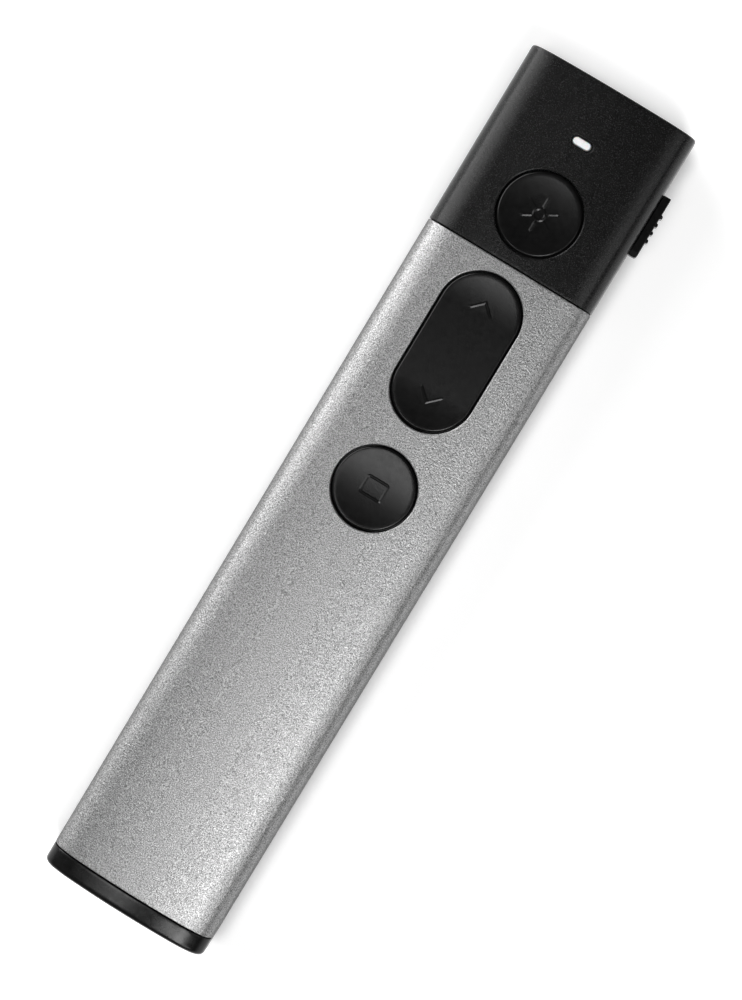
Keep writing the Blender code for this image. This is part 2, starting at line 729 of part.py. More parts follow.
def make_tray():
    """A trough under the board: receiver bay, battery bay, and a front bay for the laser and the switch."""
    tray = piece("chassis_tray", inner_loft((TRAY_TAIL_Y, TRAY_FRONT_Y), TRAY_INSET), "black plastic")
    top = BOARD_Z - SEAT
    above = box(
        (-BODY_WIDTH / 2, TRAY_TAIL_Y - OVERRUN, top),
        (BODY_WIDTH / 2, TRAY_FRONT_Y + OVERRUN, BODY_HEIGHT),
    )
    receiver_bay = bay("receiver bay", TRAY_TAIL_Y - OVERRUN, RECEIVER_BAY_END_Y)
    battery_bay = bay("battery bay", BATTERY_Y - FIT, BATTERY_BAY_END_Y)
    front_bay = bay("front bay", BATTERY_BAY_END_Y + TRAY_WALL, TRAY_FRONT_Y + OVERRUN)
    places = [(receiver_bay, *place) for place in board_screw_places()]
    places += [(front_bay, *place) for place in frame_screw_places()]
    for index, (hollow, x, y) in enumerate(places):
        boss = rod((x, y, 0), (x, y, BODY_HEIGHT), BOSS_RADIUS)
        cut(hollow, helper(f"boss {index}", boss))
    across = (MAGNET_X - TAIL_BOSS_RADIUS, RIM_INNER_X + OVERRUN)
    along = (TRAY_TAIL_Y - 2 * OVERRUN, TRAY_TAIL_Y + SCREW_LENGTH)
    up = (BAY_MIDDLE_Z - BOSS_RADIUS, BAY_MIDDLE_Z + BOSS_RADIUS)
    for side, label in ((1, "right"), (-1, "left")):
        cut(receiver_bay, helper(f"{label} tail boss", side_box(side, across, along, up)))
    for index, y in enumerate(saddle_places()):
        cut(front_bay, saddle(f"saddle {index}", y))
    cut(tray, helper("above the tray", above), receiver_bay, battery_bay, front_bay, switch_notch())
    for index, (x, y) in enumerate(board_screw_places() + frame_screw_places()):
        hole = rod((x, y, top - SCREW_LENGTH), (x, y, top + OVERRUN), SCREW_RADIUS + SEAT)
        cut(tray, helper(f"boss hole {index}", hole))
    for side, label in ((1, "right"), (-1, "left")):
        start = (side * MAGNET_X, TRAY_TAIL_Y - OVERRUN, BAY_MIDDLE_Z)
        end = (side * MAGNET_X, TRAY_TAIL_Y + SCREW_LENGTH - TRAY_WALL, BAY_MIDDLE_Z)
        cut(tray, helper(f"{label} tail hole", rod(start, end, SCREW_RADIUS + SEAT)))


def bay(name, tail, front):
    return helper(name, inner_loft((tail, front), BAY_INSET))


def saddle_places():
    setback = LASER_LENGTH * SADDLE_PLACE_SHARE
    return [BARREL_BACK_Y + setback, BARREL_FRONT_Y - setback]


def saddle(name, y):
    """A rib across the front bay, hollowed for the barrel that lies in it."""
    rib = box(
        (-SADDLE_HALF_WIDTH, y - SADDLE_THICKNESS / 2, 0),
        (SADDLE_HALF_WIDTH, y + SADDLE_THICKNESS / 2, BAY_MIDDLE_Z),
    )
    hollow = rod(
        (0, y - SADDLE_THICKNESS, BAY_MIDDLE_Z),
        (0, y + SADDLE_THICKNESS, BAY_MIDDLE_Z),
        LASER_DIAMETER / 2 + SEAT,
        TURN_STEPS,
    )
    block = helper(name, rib)
    cut(block, helper(name + " hollow", hollow))
    return block


def switch_notch():
    """Room in the tray's right wall for the knob's stem."""
    reach = STEM_LENGTH / 2 + 2 * FIT
    bottom = SLIDE_Z - STEM_HEIGHT / 2 - 2 * FIT
    low = (BODY_WIDTH / 2 - BAY_INSET - OVERRUN, KNOB_Y - SLIDE_TRAVEL - reach, bottom)
    high = (BODY_WIDTH / 2, KNOB_Y + reach, BODY_HEIGHT)
    return helper("switch notch", box(low, high))


def make_board():
    half = half_width(BOARD_TOP, TRAY_INSET)
    low, high = (-half, TRAY_TAIL_Y, BOARD_Z), (half, TRAY_FRONT_Y, BOARD_TOP)
    board = piece("circuit_board", box(low, high), "board")
    for index, (x, y) in enumerate(board_screw_places() + frame_screw_places()):
        hole = rod((x, y, BOARD_Z - OVERRUN), (x, y, BOARD_TOP + OVERRUN), SCREW_RADIUS + SEAT)
        cut(board, helper(f"board hole {index}", hole))
    port_room = PORT_WIDTH / 2 + FIT
    notch = box(
        (-port_room, TRAY_TAIL_Y - OVERRUN, BOARD_Z - OVERRUN),
        (port_room, TRAY_TAIL_Y + PORT_LENGTH + FIT, BOARD_TOP + OVERRUN),
    )
    cut(board, helper("port notch", notch))


def chip(name, centre_x, centre_y, width, length, height, look):
    """A flat component soldered to the top of the board."""
    bottom = BOARD_TOP + SEAT
    low = (centre_x - width / 2, centre_y - length / 2, bottom)
    high = (centre_x + width / 2, centre_y + length / 2, bottom + height)
    soften(piece(name, box(low, high), look), CHIP_EDGE)


def make_chips():
    chip_y = SCREEN_KEY_Y - FLANGE_RADIUS - FIT - FRAME_BORDER - CHIP_SETBACK - CHIP_SIDE / 2
    chip("controller_chip", 0, chip_y, CHIP_SIDE, CHIP_SIDE, CHIP_HEIGHT, "chip")
    crystal_y = chip_y - CHIP_SIDE / 2 - CRYSTAL_SPACE - CRYSTAL_WIDTH / 2
    chip("radio_crystal", 0, crystal_y, CRYSTAL_LENGTH, CRYSTAL_WIDTH, CRYSTAL_HEIGHT, "steel")
    charger_y = TRAY_TAIL_Y + PORT_LENGTH + CHARGER_SPACE + CHARGER_SIDE / 2
    chip("charger_chip", 0, charger_y, CHARGER_SIDE, CHARGER_SIDE, CHIP_HEIGHT, "chip")
    antenna_y = TRAY_FRONT_Y - ANTENNA_SETBACK
    chip("chip_antenna", 0, antenna_y, ANTENNA_LENGTH, ANTENNA_WIDTH, ANTENNA_HEIGHT, "white diffuser")
    chip("status_led", 0, INDICATOR_Y, LED_LENGTH, LED_WIDTH, LED_HEIGHT, "white diffuser")


def make_laser():
    radius = LASER_DIAMETER / 2
    bore = radius - BARREL_WALL
    forward = (-90, 0, 0)
    barrel = [
        (BEAM_RADIUS, LASER_LENGTH),
        (radius, LASER_LENGTH),
        (radius, 0),
        (bore, 0),
        (bore, LASER_LENGTH - BARREL_LIP),
        (BEAM_RADIUS, LASER_LENGTH - BARREL_LIP),
        (BEAM_RADIUS, LASER_LENGTH),
    ]
    turned_piece("laser_barrel", barrel, "brass", (0, BARREL_BACK_Y, BAY_MIDDLE_Z), forward, TURN_STEPS)
    lens_place = (0, BARREL_FRONT_Y - BARREL_LIP - LENS_CENTRE / 2 - SEAT, BAY_MIDDLE_Z)
    turned_piece("laser_lens", lens_profile(bore - SEAT), "clear", lens_place, forward)
    base = bore - SEAT
    diode = [
        (0, DIODE_BASE + DIODE_CAN_HEIGHT),
        (DIODE_CAN_RADIUS, DIODE_BASE + DIODE_CAN_HEIGHT),
        (DIODE_CAN_RADIUS, DIODE_BASE),
        (base, DIODE_BASE),
        (base, 0),
        (0, 0),
    ]
    turned_piece("laser_diode", diode, "steel", (0, BARREL_BACK_Y, BAY_MIDDLE_Z), forward)
    back = BARREL_BACK_Y - FIT
    driver = box(
        (-base, back - DRIVER_THICKNESS, BAY_MIDDLE_Z - base),
        (base, back, BAY_MIDDLE_Z + base),
    )
    piece("laser_driver", driver, "board")


def lens_profile(radius):
    """A lens with two bulging faces, thick in the middle and thin at its rim."""
    bulge = (LENS_CENTRE - LENS_EDGE) / 2
    bend = (radius**2 + bulge**2) / (2 * bulge)
    face = []
    for i in range(ARC_STEPS + 1):
        r = radius * i / ARC_STEPS
        face.append((r, LENS_CENTRE / 2 - bend + math.sqrt(bend**2 - r**2)))
    return face + [(r, -height) for r, height in reversed(face)]


def make_switch():
    """The power switch hangs under the board, with its nub reaching into the fork of the knob's stem."""
    middle = SWITCH_Y
    half_length = SWITCH_LENGTH / 2
    low = (SWITCH_X - SWITCH_DEPTH, middle - half_length, SLIDE_Z - SWITCH_HEIGHT / 2)
    high = (SWITCH_X, middle + half_length, SLIDE_Z + SWITCH_HEIGHT / 2)
    switch = piece("slide_switch", box(low, high), "steel")
    nub_half = NUB_WIDTH / 2
    nub_rise = NUB_HEIGHT / 2
    slot = box(
        (SWITCH_X - SWITCH_SLOT_DEPTH, KNOB_Y - SLIDE_TRAVEL - nub_half - FIT, SLIDE_Z - nub_rise - FIT),
        (SWITCH_X + OVERRUN, KNOB_Y + nub_half + FIT, SLIDE_Z + nub_rise + FIT),
    )
    cut(switch, helper("switch slot", slot))
    nub = piece(
        "slide_actuator",
        box(
            (SWITCH_X - SWITCH_SLOT_DEPTH + FIT, KNOB_Y - nub_half, SLIDE_Z - nub_rise),
            (SWITCH_X + FORK_GAP + NUB_REACH, KNOB_Y + nub_half, SLIDE_Z + nub_rise),
        ),
        "black plastic",
    )
    pivot_at(nub, (SWITCH_X, KNOB_Y, SLIDE_Z))


def make_knob():
    """A ribbed plate on the side wall, with a stem through the wall whose forked end straddles the nub."""
    face_in, face_out = BODY_WIDTH / 2 + SEAT, BODY_WIDTH / 2 + KNOB_PROUD
    half_length, half_height = KNOB_LENGTH / 2, KNOB_HEIGHT / 2
    outline = [
        (face_in, -half_length),
        (face_out - KNOB_RAMP, -half_length),
        (face_out, -half_length + KNOB_RAMP),
        (face_out, half_length - KNOB_ROUND),
        (face_out - KNOB_ROUND, half_length),
        (face_in, half_length),
    ]
    plate = [
        [Vector((x, KNOB_Y + y, SLIDE_Z + z)) for x, y in outline] for z in (-half_height, half_height)
    ]
    knob = piece("slide_knob", loft(plate), "satin key")
    pivot_at(knob, (BODY_WIDTH / 2, KNOB_Y, SLIDE_Z))
    fork_x = SWITCH_X + FORK_GAP
    stem_half, stem_rise = STEM_LENGTH / 2, STEM_HEIGHT / 2
    stem = helper(
        "knob stem",
        box(
            (fork_x, KNOB_Y - stem_half, SLIDE_Z - stem_rise),
            (face_in + KNOB_ROUND, KNOB_Y + stem_half, SLIDE_Z + stem_rise),
        ),
    )
    join(knob, stem)
    fork = box(
        (fork_x - OVERRUN, KNOB_Y - NUB_WIDTH / 2 - SEAT, SLIDE_Z - STEM_HEIGHT),
        (fork_x + NUB_REACH + SEAT, KNOB_Y + NUB_WIDTH / 2 + SEAT, SLIDE_Z + STEM_HEIGHT),
    )
    cut(knob, helper("knob fork", fork))
    for index in range(RIB_COUNT):
        y = KNOB_Y + (index - (RIB_COUNT - 1) / 2) * RIB_PITCH
        start, end = SLIDE_Z - half_height + KNOB_ROUND, SLIDE_Z + half_height - KNOB_ROUND
        join(knob, helper(f"rib {index}", rod((face_out, y, start), (face_out, y, end), RIB_RADIUS)))


def make_battery():
    half = half_width(BATTERY_FLOOR_Z, BAY_INSET) - FIT
    low = (-half, BATTERY_Y, BATTERY_FLOOR_Z)
    high = (half, BATTERY_END_Y, BOARD_Z - FIT)
    soften(piece("battery_cell", box(low, high), "battery foil"), BATTERY_ROUND)
    connector_y = BATTERY_BAY_END_Y + TRAY_WALL + CONNECTOR_SPACE
    connector_top = BOARD_Z - SEAT
    socket = box(
        (-CONNECTOR_WIDTH / 2, connector_y, connector_top - CONNECTOR_HEIGHT),
        (CONNECTOR_WIDTH / 2, connector_y + CONNECTOR_LENGTH, connector_top),
    )
    piece("battery_connector", socket, "cream plastic")
    for side, label in ((-1, "red"), (1, "black")):
        make_lead(f"battery_lead_{label}", side * LEAD_SPREAD, connector_y, f"{label} wire")


def make_lead(name, x, connector_y, look):
    """A wire from the cell's end, over the bay's wall in its notch, to the connector."""
    start = BATTERY_END_Y + SEAT
    end = connector_y - SEAT
    z = BOARD_Z - CONNECTOR_HEIGHT / 2
    curve = bpy.data.curves.new(name, "CURVE")
    curve.dimensions = "3D"
    curve.bevel_depth = LEAD_RADIUS
    curve.bevel_resolution = 1
    curve.use_fill_caps = True
    spline = curve.splines.new("POLY")
    spline.points.add(LEAD_STEPS)
    for i, point in enumerate(spline.points):
        share = i / LEAD_STEPS
        sag = LEAD_RADIUS * math.sin(math.pi * share)
        point.co = (x, start + (end - start) * share, z - sag, 1)
    obj = bpy.data.objects.new(name, curve)
    PRESENTER.objects.link(obj)
    curve.materials.append(LOOKS[look])


def cut_lead_notch():
    """The leads pass through one notch in the wall between the battery bay and the front bay."""
    half = LEAD_SPREAD + LEAD_RADIUS + 2 * FIT
    low = (-half, BATTERY_BAY_END_Y - OVERRUN, BOARD_Z - CONNECTOR_HEIGHT)
    high = (half, BATTERY_BAY_END_Y + TRAY_WALL + OVERRUN, BODY_HEIGHT)
    cut(bpy.data.objects["chassis_tray"], helper("lead notch", box(low, high)))


# Screws


def make_screw(name, place, turn, length, head=SCREW_HEAD_RADIUS):
    profile = [
        (0, SCREW_HEAD_HEIGHT),
        (head - SCREW_HEAD_EDGE, SCREW_HEAD_HEIGHT),
        (head, SCREW_HEAD_HEIGHT - SCREW_HEAD_EDGE),
        (head, 0),
        (SCREW_RADIUS, 0),
        (SCREW_RADIUS, -length),
        (0, -length),
    ]
    turned_piece(name, profile, "steel", place, turn)


def make_screws():
    for index, (x, y) in enumerate(frame_screw_places(), start=1):
        make_screw(f"frame_screw_{index}", (x, y, FRAME_TOP + SEAT), (0, 0, 0), SCREW_LENGTH)
    for label, (x, y) in zip(("left", "right"), board_screw_places()):
        make_screw(f"board_screw_{label}", (x, y, BOARD_TOP + SEAT), (0, 0, 0), SCREW_LENGTH)
    length = SCREW_LENGTH - TRAY_WALL
    for side, label in ((-1, "left"), (1, "right")):
        place = (side * MAGNET_X, TAIL_FRAME_Y + SCREW_HEAD_HEIGHT + SEAT, BAY_MIDDLE_Z)
        make_screw(f"tail_screw_{label}", place, (90, 0, 0), length, TAIL_HEAD_RADIUS)


# Tail


def make_tail_frame():
    """The inner end of the tail, with openings for the charging port, the receiver and two sunk screws."""
    front = TAIL_FRAME_Y + TAIL_FRAME
    frame = piece("tail_frame", inner_loft((TAIL_FRAME_Y, front), TRAY_INSET), "black plastic")
    low_y, high_y = TAIL_FRAME_Y - OVERRUN, front + OVERRUN
    half_grip = BAY_MIDDLE_Z - FLOOR_Z - SEAT
    receiver_half = JAW_OUTER_X + FIT
    receiver = box(
        (-receiver_half, low_y, BAY_MIDDLE_Z - half_grip),
        (receiver_half, high_y, BAY_MIDDLE_Z + half_grip),
    )
    port_top = port_ceiling()
    port_half = PORT_WIDTH / 2 + SEAT
    port = box(
        (-port_half, low_y, port_top - PORT_HEIGHT - SEAT),
        (port_half, high_y, port_top + SEAT),
    )
    cut(frame, helper("receiver opening", receiver), helper("port opening", port))
    for side, label in ((1, "right"), (-1, "left")):
        x = side * MAGNET_X
        sink = TAIL_FRAME_Y + SCREW_HEAD_HEIGHT + SEAT
        shank = rod((x, low_y, BAY_MIDDLE_Z), (x, high_y, BAY_MIDDLE_Z), SCREW_RADIUS + SEAT)
        head = rod((x, low_y, BAY_MIDDLE_Z), (x, sink, BAY_MIDDLE_Z), TAIL_HEAD_RADIUS + SEAT)
        cut(frame, helper(f"{label} tail shank hole", shank), helper(f"{label} tail head sink", head))


def port_ceiling():
    return BODY_HEIGHT - TRAY_INSET - crown_drop(PORT_WIDTH / 2, TRAY_INSET) - TRAY_WALL / 2


def make_port():
    """The charging socket, sunk into a notch at the end of the board."""
    top = port_ceiling()
    bottom = top - PORT_HEIGHT
    half = PORT_WIDTH / 2
    back = TRAY_TAIL_Y + PORT_LENGTH
    shell = piece("charging_port", box((-half, TRAY_TAIL_Y, bottom), (half, back, top)), "steel")
    cavity = box(
        (-half + PORT_METAL, TRAY_TAIL_Y - OVERRUN, bottom + PORT_METAL),
        (half - PORT_METAL, back - PORT_METAL, top - PORT_METAL),
    )
    cut(shell, helper("port cavity", cavity))
    middle = (top + bottom) / 2
    tongue = box(
        (-PORT_TONGUE_WIDTH / 2, TRAY_TAIL_Y + PORT_METAL, middle - PORT_TONGUE_THICKNESS / 2),
        (PORT_TONGUE_WIDTH / 2, back - PORT_METAL - SEAT, middle + PORT_TONGUE_THICKNESS / 2),
    )
    piece("port_tongue", tongue, "black plastic")


def make_end_cap():
    """The tail cap: a rounded end plate, a rim that enters the sleeve, and jaws for the receiver."""
    edge = CAP_SEAM_Y - SEAM / 2
    rings = []
    for i in range(FILLET_STEPS, -1, -1):
        angle = math.radians(90 * i / FILLET_STEPS)
        y = TAIL_Y + CAP_FILLET * (1 - math.sin(angle))
        rings.append(section(y, CAP_FILLET * (1 - math.cos(angle))))
    rings += [section(edge - EDGE_BREAK, 0), section(edge, EDGE_BREAK)]
    cap = piece("end_cap", loft(rings), "gloss black")
    pivot_at(cap, (0, TAIL_Y, BAY_MIDDLE_Z))
    rim = helper("cap rim", inner_loft((CAP_INSIDE_Y - SEAT, RIM_END_Y), TRAY_INSET))
    hollow = bay("cap hollow", CAP_INSIDE_Y, RIM_END_Y + OVERRUN)
    join(cap, rim)
    block_rise = MAGNET_RADIUS + MAGNET_WALL
    across = (JAW_X + JAW_THICKNESS / 2, RIM_INNER_X + OVERRUN)
    along = (CAP_INSIDE_Y - OVERRUN, RIM_END_Y + 2 * OVERRUN)
    up = (BAY_MIDDLE_Z - block_rise, BAY_MIDDLE_Z + block_rise)
    for side, label in ((1, "right"), (-1, "left")):
        cut(hollow, helper(f"{label} magnet block", side_box(side, across, along, up)))
    cut(cap, hollow)
    grip_rise = grip_half_height()
    jaw_along = (CAP_INSIDE_Y - SEAT, GRIP_Y + JAW_LENGTH)
    jaw_up = (BAY_MIDDLE_Z - grip_rise, BAY_MIDDLE_Z + grip_rise)
    for side, label in ((1, "right"), (-1, "left")):
        x = side * MAGNET_X
        pocket_floor = (x, RIM_END_Y - MAGNET_LENGTH - 2 * SEAT, BAY_MIDDLE_Z)
        pocket = rod(pocket_floor, (x, RIM_END_Y + OVERRUN, BAY_MIDDLE_Z), MAGNET_RADIUS + SEAT)
        cut(cap, helper(f"{label} magnet pocket", pocket))
        jaw = side_box(side, (JAW_X, JAW_OUTER_X), jaw_along, jaw_up)
        join(cap, helper(f"{label} jaw", jaw))
        magnet_back = (x, RIM_END_Y - MAGNET_LENGTH - SEAT, BAY_MIDDLE_Z)
        magnet = rod(magnet_back, (x, RIM_END_Y - SEAT, BAY_MIDDLE_Z), MAGNET_RADIUS)
        pivot_at(piece(f"cap_magnet_{label}", magnet, "steel"), (0, TAIL_Y, BAY_MIDDLE_Z))


def grip_half_height():
    return LASER_DIAMETER / 2 - FIT


def make_receiver():
    rise = grip_half_height()
    origin = (0, GRIP_Y, BAY_MIDDLE_Z)
    grip = box(
        (-GRIP_WIDTH / 2, GRIP_Y, BAY_MIDDLE_Z - rise),
        (GRIP_WIDTH / 2, GRIP_Y + GRIP_LENGTH, BAY_MIDDLE_Z + rise),
    )
    grip = piece("receiver_grip", grip, "gloss black")
    soften(grip, GRIP_ROUND)
    pivot_at(grip, origin)
    half_width_plug, half_height_plug = PLUG_WIDTH / 2, PLUG_HEIGHT / 2
    shell = piece(
        "receiver_plug",
        box(
            (-half_width_plug, PLUG_Y, BAY_MIDDLE_Z - half_height_plug),
            (half_width_plug, PLUG_TIP_Y, BAY_MIDDLE_Z + half_height_plug),
        ),
        "steel",
    )
    pivot_at(shell, origin)
    cavity = box(
        (PLUG_METAL - half_width_plug, PLUG_Y + PLUG_METAL, BAY_MIDDLE_Z - half_height_plug + PLUG_METAL),
        (half_width_plug - PLUG_METAL, PLUG_TIP_Y + OVERRUN, BAY_MIDDLE_Z + half_height_plug - PLUG_METAL),
    )
    cut(shell, helper("plug cavity", cavity))
    for side, label in ((1, "right"), (-1, "left")):
        x, y = side * PLUG_WINDOW_SPACE / 2, PLUG_Y + PLUG_WINDOW_SETBACK
        window = box(
            (x - PLUG_WINDOW / 2, y - PLUG_WINDOW / 2, BAY_MIDDLE_Z - PLUG_HEIGHT),
            (x + PLUG_WINDOW / 2, y + PLUG_WINDOW / 2, BAY_MIDDLE_Z + PLUG_HEIGHT),
        )
        cut(shell, helper(f"{label} plug window", window))
    floor = BAY_MIDDLE_Z - half_height_plug + PLUG_METAL + SEAT
    tongue_half = half_width_plug - PLUG_METAL - SEAT
    tongue = box(
        (-tongue_half, PLUG_Y + PLUG_METAL + SEAT, floor),
        (tongue_half, PLUG_Y + PLUG_LENGTH * PLUG_TONGUE_SHARE, floor + PLUG_TONGUE_THICKNESS),
    )
    pivot_at(piece("receiver_tongue", tongue, "cream plastic"), origin)


def make_looks():
    return {
        "aluminium": finish("bead-blasted aluminium", (0.56, 0.56, 0.56), 0.42, 1.0),
        "black plastic": finish("textured black plastic", (0.028, 0.028, 0.028), 0.55),
        "satin key": finish("satin black plastic", (0.034, 0.034, 0.034), 0.45),
        "gloss black": finish("glossy black plastic", (0.012, 0.012, 0.012), 0.08),
        "white diffuser": finish("white diffuser", (0.85, 0.85, 0.85), 0.35),
        "clear": finish("clear plastic", (0.75, 0.78, 0.80), 0.05),
        "brass": finish("brass", (0.62, 0.46, 0.20), 0.35, 1.0),
        "steel": finish("plated steel", (0.62, 0.62, 0.63), 0.28, 1.0),
        "spring metal": finish("spring metal", (0.70, 0.69, 0.66), 0.25, 1.0),
        "board": finish("green circuit board", (0.02, 0.16, 0.07), 0.40),
        "chip": finish("black chip", (0.03, 0.03, 0.035), 0.50),
        "battery foil": finish("battery foil", (0.55, 0.56, 0.58), 0.38, 0.8),
        "cream plastic": finish("cream plastic", (0.78, 0.74, 0.62), 0.45),
        "red wire": finish("red wire", (0.55, 0.03, 0.02), 0.45),
        "black wire": finish("black wire", (0.02, 0.02, 0.02), 0.45),
    }


clear_scene()
PRESENTER = collection("wireless presenter")
CUTTERS = collection("cutters")
LOOKS = make_looks()

make_sleeve()
make_head()
make_windows()
make_round_key("laser_button", LASER_KEY_Y)
make_round_key("screen_button", SCREEN_KEY_Y)
make_rocker()
make_domes()
make_key_frame()
make_tray()
make_board()
make_chips()
make_laser()
make_switch()
make_knob()
make_battery()
cut_lead_notch()
make_screws()
make_tail_frame()
make_port()
make_end_cap()
make_receiver()
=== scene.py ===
import json
import math

import bmesh
import bpy
from mathutils import Matrix, Vector


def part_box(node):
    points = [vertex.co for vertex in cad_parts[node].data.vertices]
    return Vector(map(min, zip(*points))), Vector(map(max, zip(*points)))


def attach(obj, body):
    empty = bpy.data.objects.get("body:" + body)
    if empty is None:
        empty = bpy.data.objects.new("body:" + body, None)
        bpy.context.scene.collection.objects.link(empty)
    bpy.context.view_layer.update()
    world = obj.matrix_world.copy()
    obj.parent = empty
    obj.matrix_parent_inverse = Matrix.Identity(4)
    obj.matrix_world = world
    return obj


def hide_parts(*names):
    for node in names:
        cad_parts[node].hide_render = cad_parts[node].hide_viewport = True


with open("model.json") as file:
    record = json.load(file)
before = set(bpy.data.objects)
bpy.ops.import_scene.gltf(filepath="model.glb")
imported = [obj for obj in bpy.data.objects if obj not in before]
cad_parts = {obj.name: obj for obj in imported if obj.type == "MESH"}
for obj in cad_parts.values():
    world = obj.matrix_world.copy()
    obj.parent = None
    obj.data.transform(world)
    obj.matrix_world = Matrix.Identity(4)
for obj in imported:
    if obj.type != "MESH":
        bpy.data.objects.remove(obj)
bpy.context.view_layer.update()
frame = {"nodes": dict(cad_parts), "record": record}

# Outline of the body, as in the solids, with the crown eased into the shoulders
BODY_WIDTH = 0.0260
BODY_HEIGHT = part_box("sleeve")[1].z
UNDER_RADIUS = 0.0045
CROWN_RADIUS = 0.0610
SIDE_RADIUS = 0.0029
CROWN_TILT = math.radians(8.0)
EASE_TILT = math.radians(25.0)
CROWN_END = CROWN_RADIUS * math.sin(CROWN_TILT)
SIDE_CENTRE_X = BODY_WIDTH / 2 - SIDE_RADIUS
EASE_END = SIDE_CENTRE_X + SIDE_RADIUS * math.sin(EASE_TILT)
EASE_RADIUS = (EASE_END - CROWN_END) / (math.sin(EASE_TILT) - math.sin(CROWN_TILT))
CROWN_CENTRE_Z = BODY_HEIGHT - CROWN_RADIUS
EASE_CENTRE_X = (CROWN_RADIUS - EASE_RADIUS) * math.sin(CROWN_TILT)
EASE_CENTRE_Z = CROWN_CENTRE_Z + (CROWN_RADIUS - EASE_RADIUS) * math.cos(CROWN_TILT)
SHOULDER_Z = EASE_CENTRE_Z + (EASE_RADIUS - SIDE_RADIUS) * math.cos(EASE_TILT)

# Walls, gaps and small edges
SLEEVE_WALL = 0.0012
HEAD_WALL = 0.0013
TRAY_INSET = 0.0015
TRAY_WALL = 0.0008
SEAT = 0.0001
FIT = 0.0002
OVERRUN = 0.0010
SLEEVE_EDGE = 0.00012
FRONT_EDGE = 0.0003
CAP_FILLET = 0.0006
SUPPORT = 0.0003

# Keys
KEY_WIDTH_SHARE = 0.4673
KEY_GAP = 0.00024
FLANGE_OVERHANG = 0.0006
HOLE_RADIUS = BODY_WIDTH * KEY_WIDTH_SHARE / 2
KEY_RADIUS = HOLE_RADIUS - KEY_GAP
FLANGE_RADIUS = HOLE_RADIUS + FLANGE_OVERHANG
HOLE_RIM = 0.0002
KEY_RECESS = 0.0001
KEY_FILLET = 0.0003
DISH_DEPTH = 0.00029
POST_LENGTH = 0.0007
POST_RADIUS = 0.0012
FLANGE_THICKNESS = 0.0008
PIN_RADIUS = 0.00045
PIN_INSET = 0.0014
DOME_SPREAD = 0.0072

# Raised signs on the keys
SIGN_HEIGHT = 0.00007
SIGN_FOOT = 0.00001
SIGN_HALF_WIDTH = 0.00026
SIGN_TOP_SHARE = 0.10
SIGN_ROOT = 0.0002
SIGN_LEAN_LIMIT = 0.4
SIGN_END_DEGREES = (80, 55, 30)
SUN_RING = 0.0008
SUN_RAY_START = 0.0012
SUN_RAY_END = 0.0024
SUN_RAYS = 6
CHEVRON_TIP = 0.0079
CHEVRON_ARM_END = 0.0064
CHEVRON_HALF_WIDTH = 0.00156
SCREEN_HALF_WIDTH = 0.00158
SCREEN_HALF_LENGTH = 0.00128
SCREEN_CORNER = 0.0003

# Indicator: a wide recess, a narrow slot in it, and the light guide with its foot
GUIDE_LOW, GUIDE_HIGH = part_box("indicator_window")
GUIDE_Y = (GUIDE_LOW.y + GUIDE_HIGH.y) / 2
SLOT_LENGTH = 0.0034
SLOT_WIDTH = 0.0017
SLOT_RIM = 0.00015
SLOT_DEPTH = 0.0005
GUIDE_LENGTH = 0.0026
GUIDE_WIDTH = 0.00102
GUIDE_EDGE = 0.00012
GUIDE_LIP = 0.0007
GUIDE_FOOT = 0.0007

# Aperture of the beam
APERTURE_RADIUS = 0.0018
APERTURE_FLARE = 0.0007

# Power knob: its reach is how much further out it stands than the solid
KNOB_REACH = 0.00018
KNOB_TRAVEL = 0.0020
KNOB_GAP = SEAT / 5
KNOB_RAMP = 0.00025
KNOB_EDGE = 0.00015
KNOB_EDGE_DEGREES = 25
STEM_HALF_LENGTH = 0.0018
STEM_HALF_HEIGHT = 0.0009
RIB_RADIUS = 0.0003
RIB_PITCH = 0.00127
RIB_COUNT = 4
SLOPE_LENGTH = 0.0008
SLOPE_DROP = 0.0007

# Tail cap
CAP_SEAM = 0.00015
CAP_RIM_REACH = 0.0010
JAW_THICKNESS = 0.0008
MAGNET_WALL = 0.0005

# Plug and port
SHEET = 0.0003
PLUG_ROUND = 0.0006
PORT_ROUND_SHARE = 0.45
WINDOW = 0.0022
WINDOW_SPACE = 0.0052
WINDOW_SETBACK = 0.0065
CONTACT_PLACES = (-0.0035, -0.0010, 0.0010, 0.0035)
CONTACT_WIDTH = 0.0010
CONTACT_LENGTH = 0.0065
CONTACT_SETBACK = 0.0004
CONTACT_RISE = 0.00015
CONTACT_TIP_SHARE = 0.2
CONTACT_TOP_SHARE = 0.8

# Places
SEAM_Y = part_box("head_shell")[0].y
FRONT_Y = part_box("head_shell")[1].y
LASER_KEY_Y = sum(corner.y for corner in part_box("laser_button")) / 2
SCREEN_KEY_Y = sum(corner.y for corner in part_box("screen_button")) / 2
ROCKER_Y = sum(corner.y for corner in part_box("rocker_key")) / 2
ROCKER_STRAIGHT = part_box("rocker_key")[1].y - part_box("rocker_key")[0].y - 2 * FLANGE_RADIUS
FLANGE_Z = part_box("laser_button")[0].z + POST_LENGTH
FLANGE_TOP = FLANGE_Z + FLANGE_THICKNESS
BEAM_Z = sum(corner.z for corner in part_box("laser_barrel")) / 2

# Camera, fitted to the seams, keys and outline in the photograph
CAMERA_PLACE = (0.01925, 0.02765, 0.35221)
CAMERA_TURN = (0.03746, -0.08719, -0.00097)
PICTURE_TURN = math.radians(31.172)
FOCAL_SHARE = 2.48164
SENSOR = 36.0

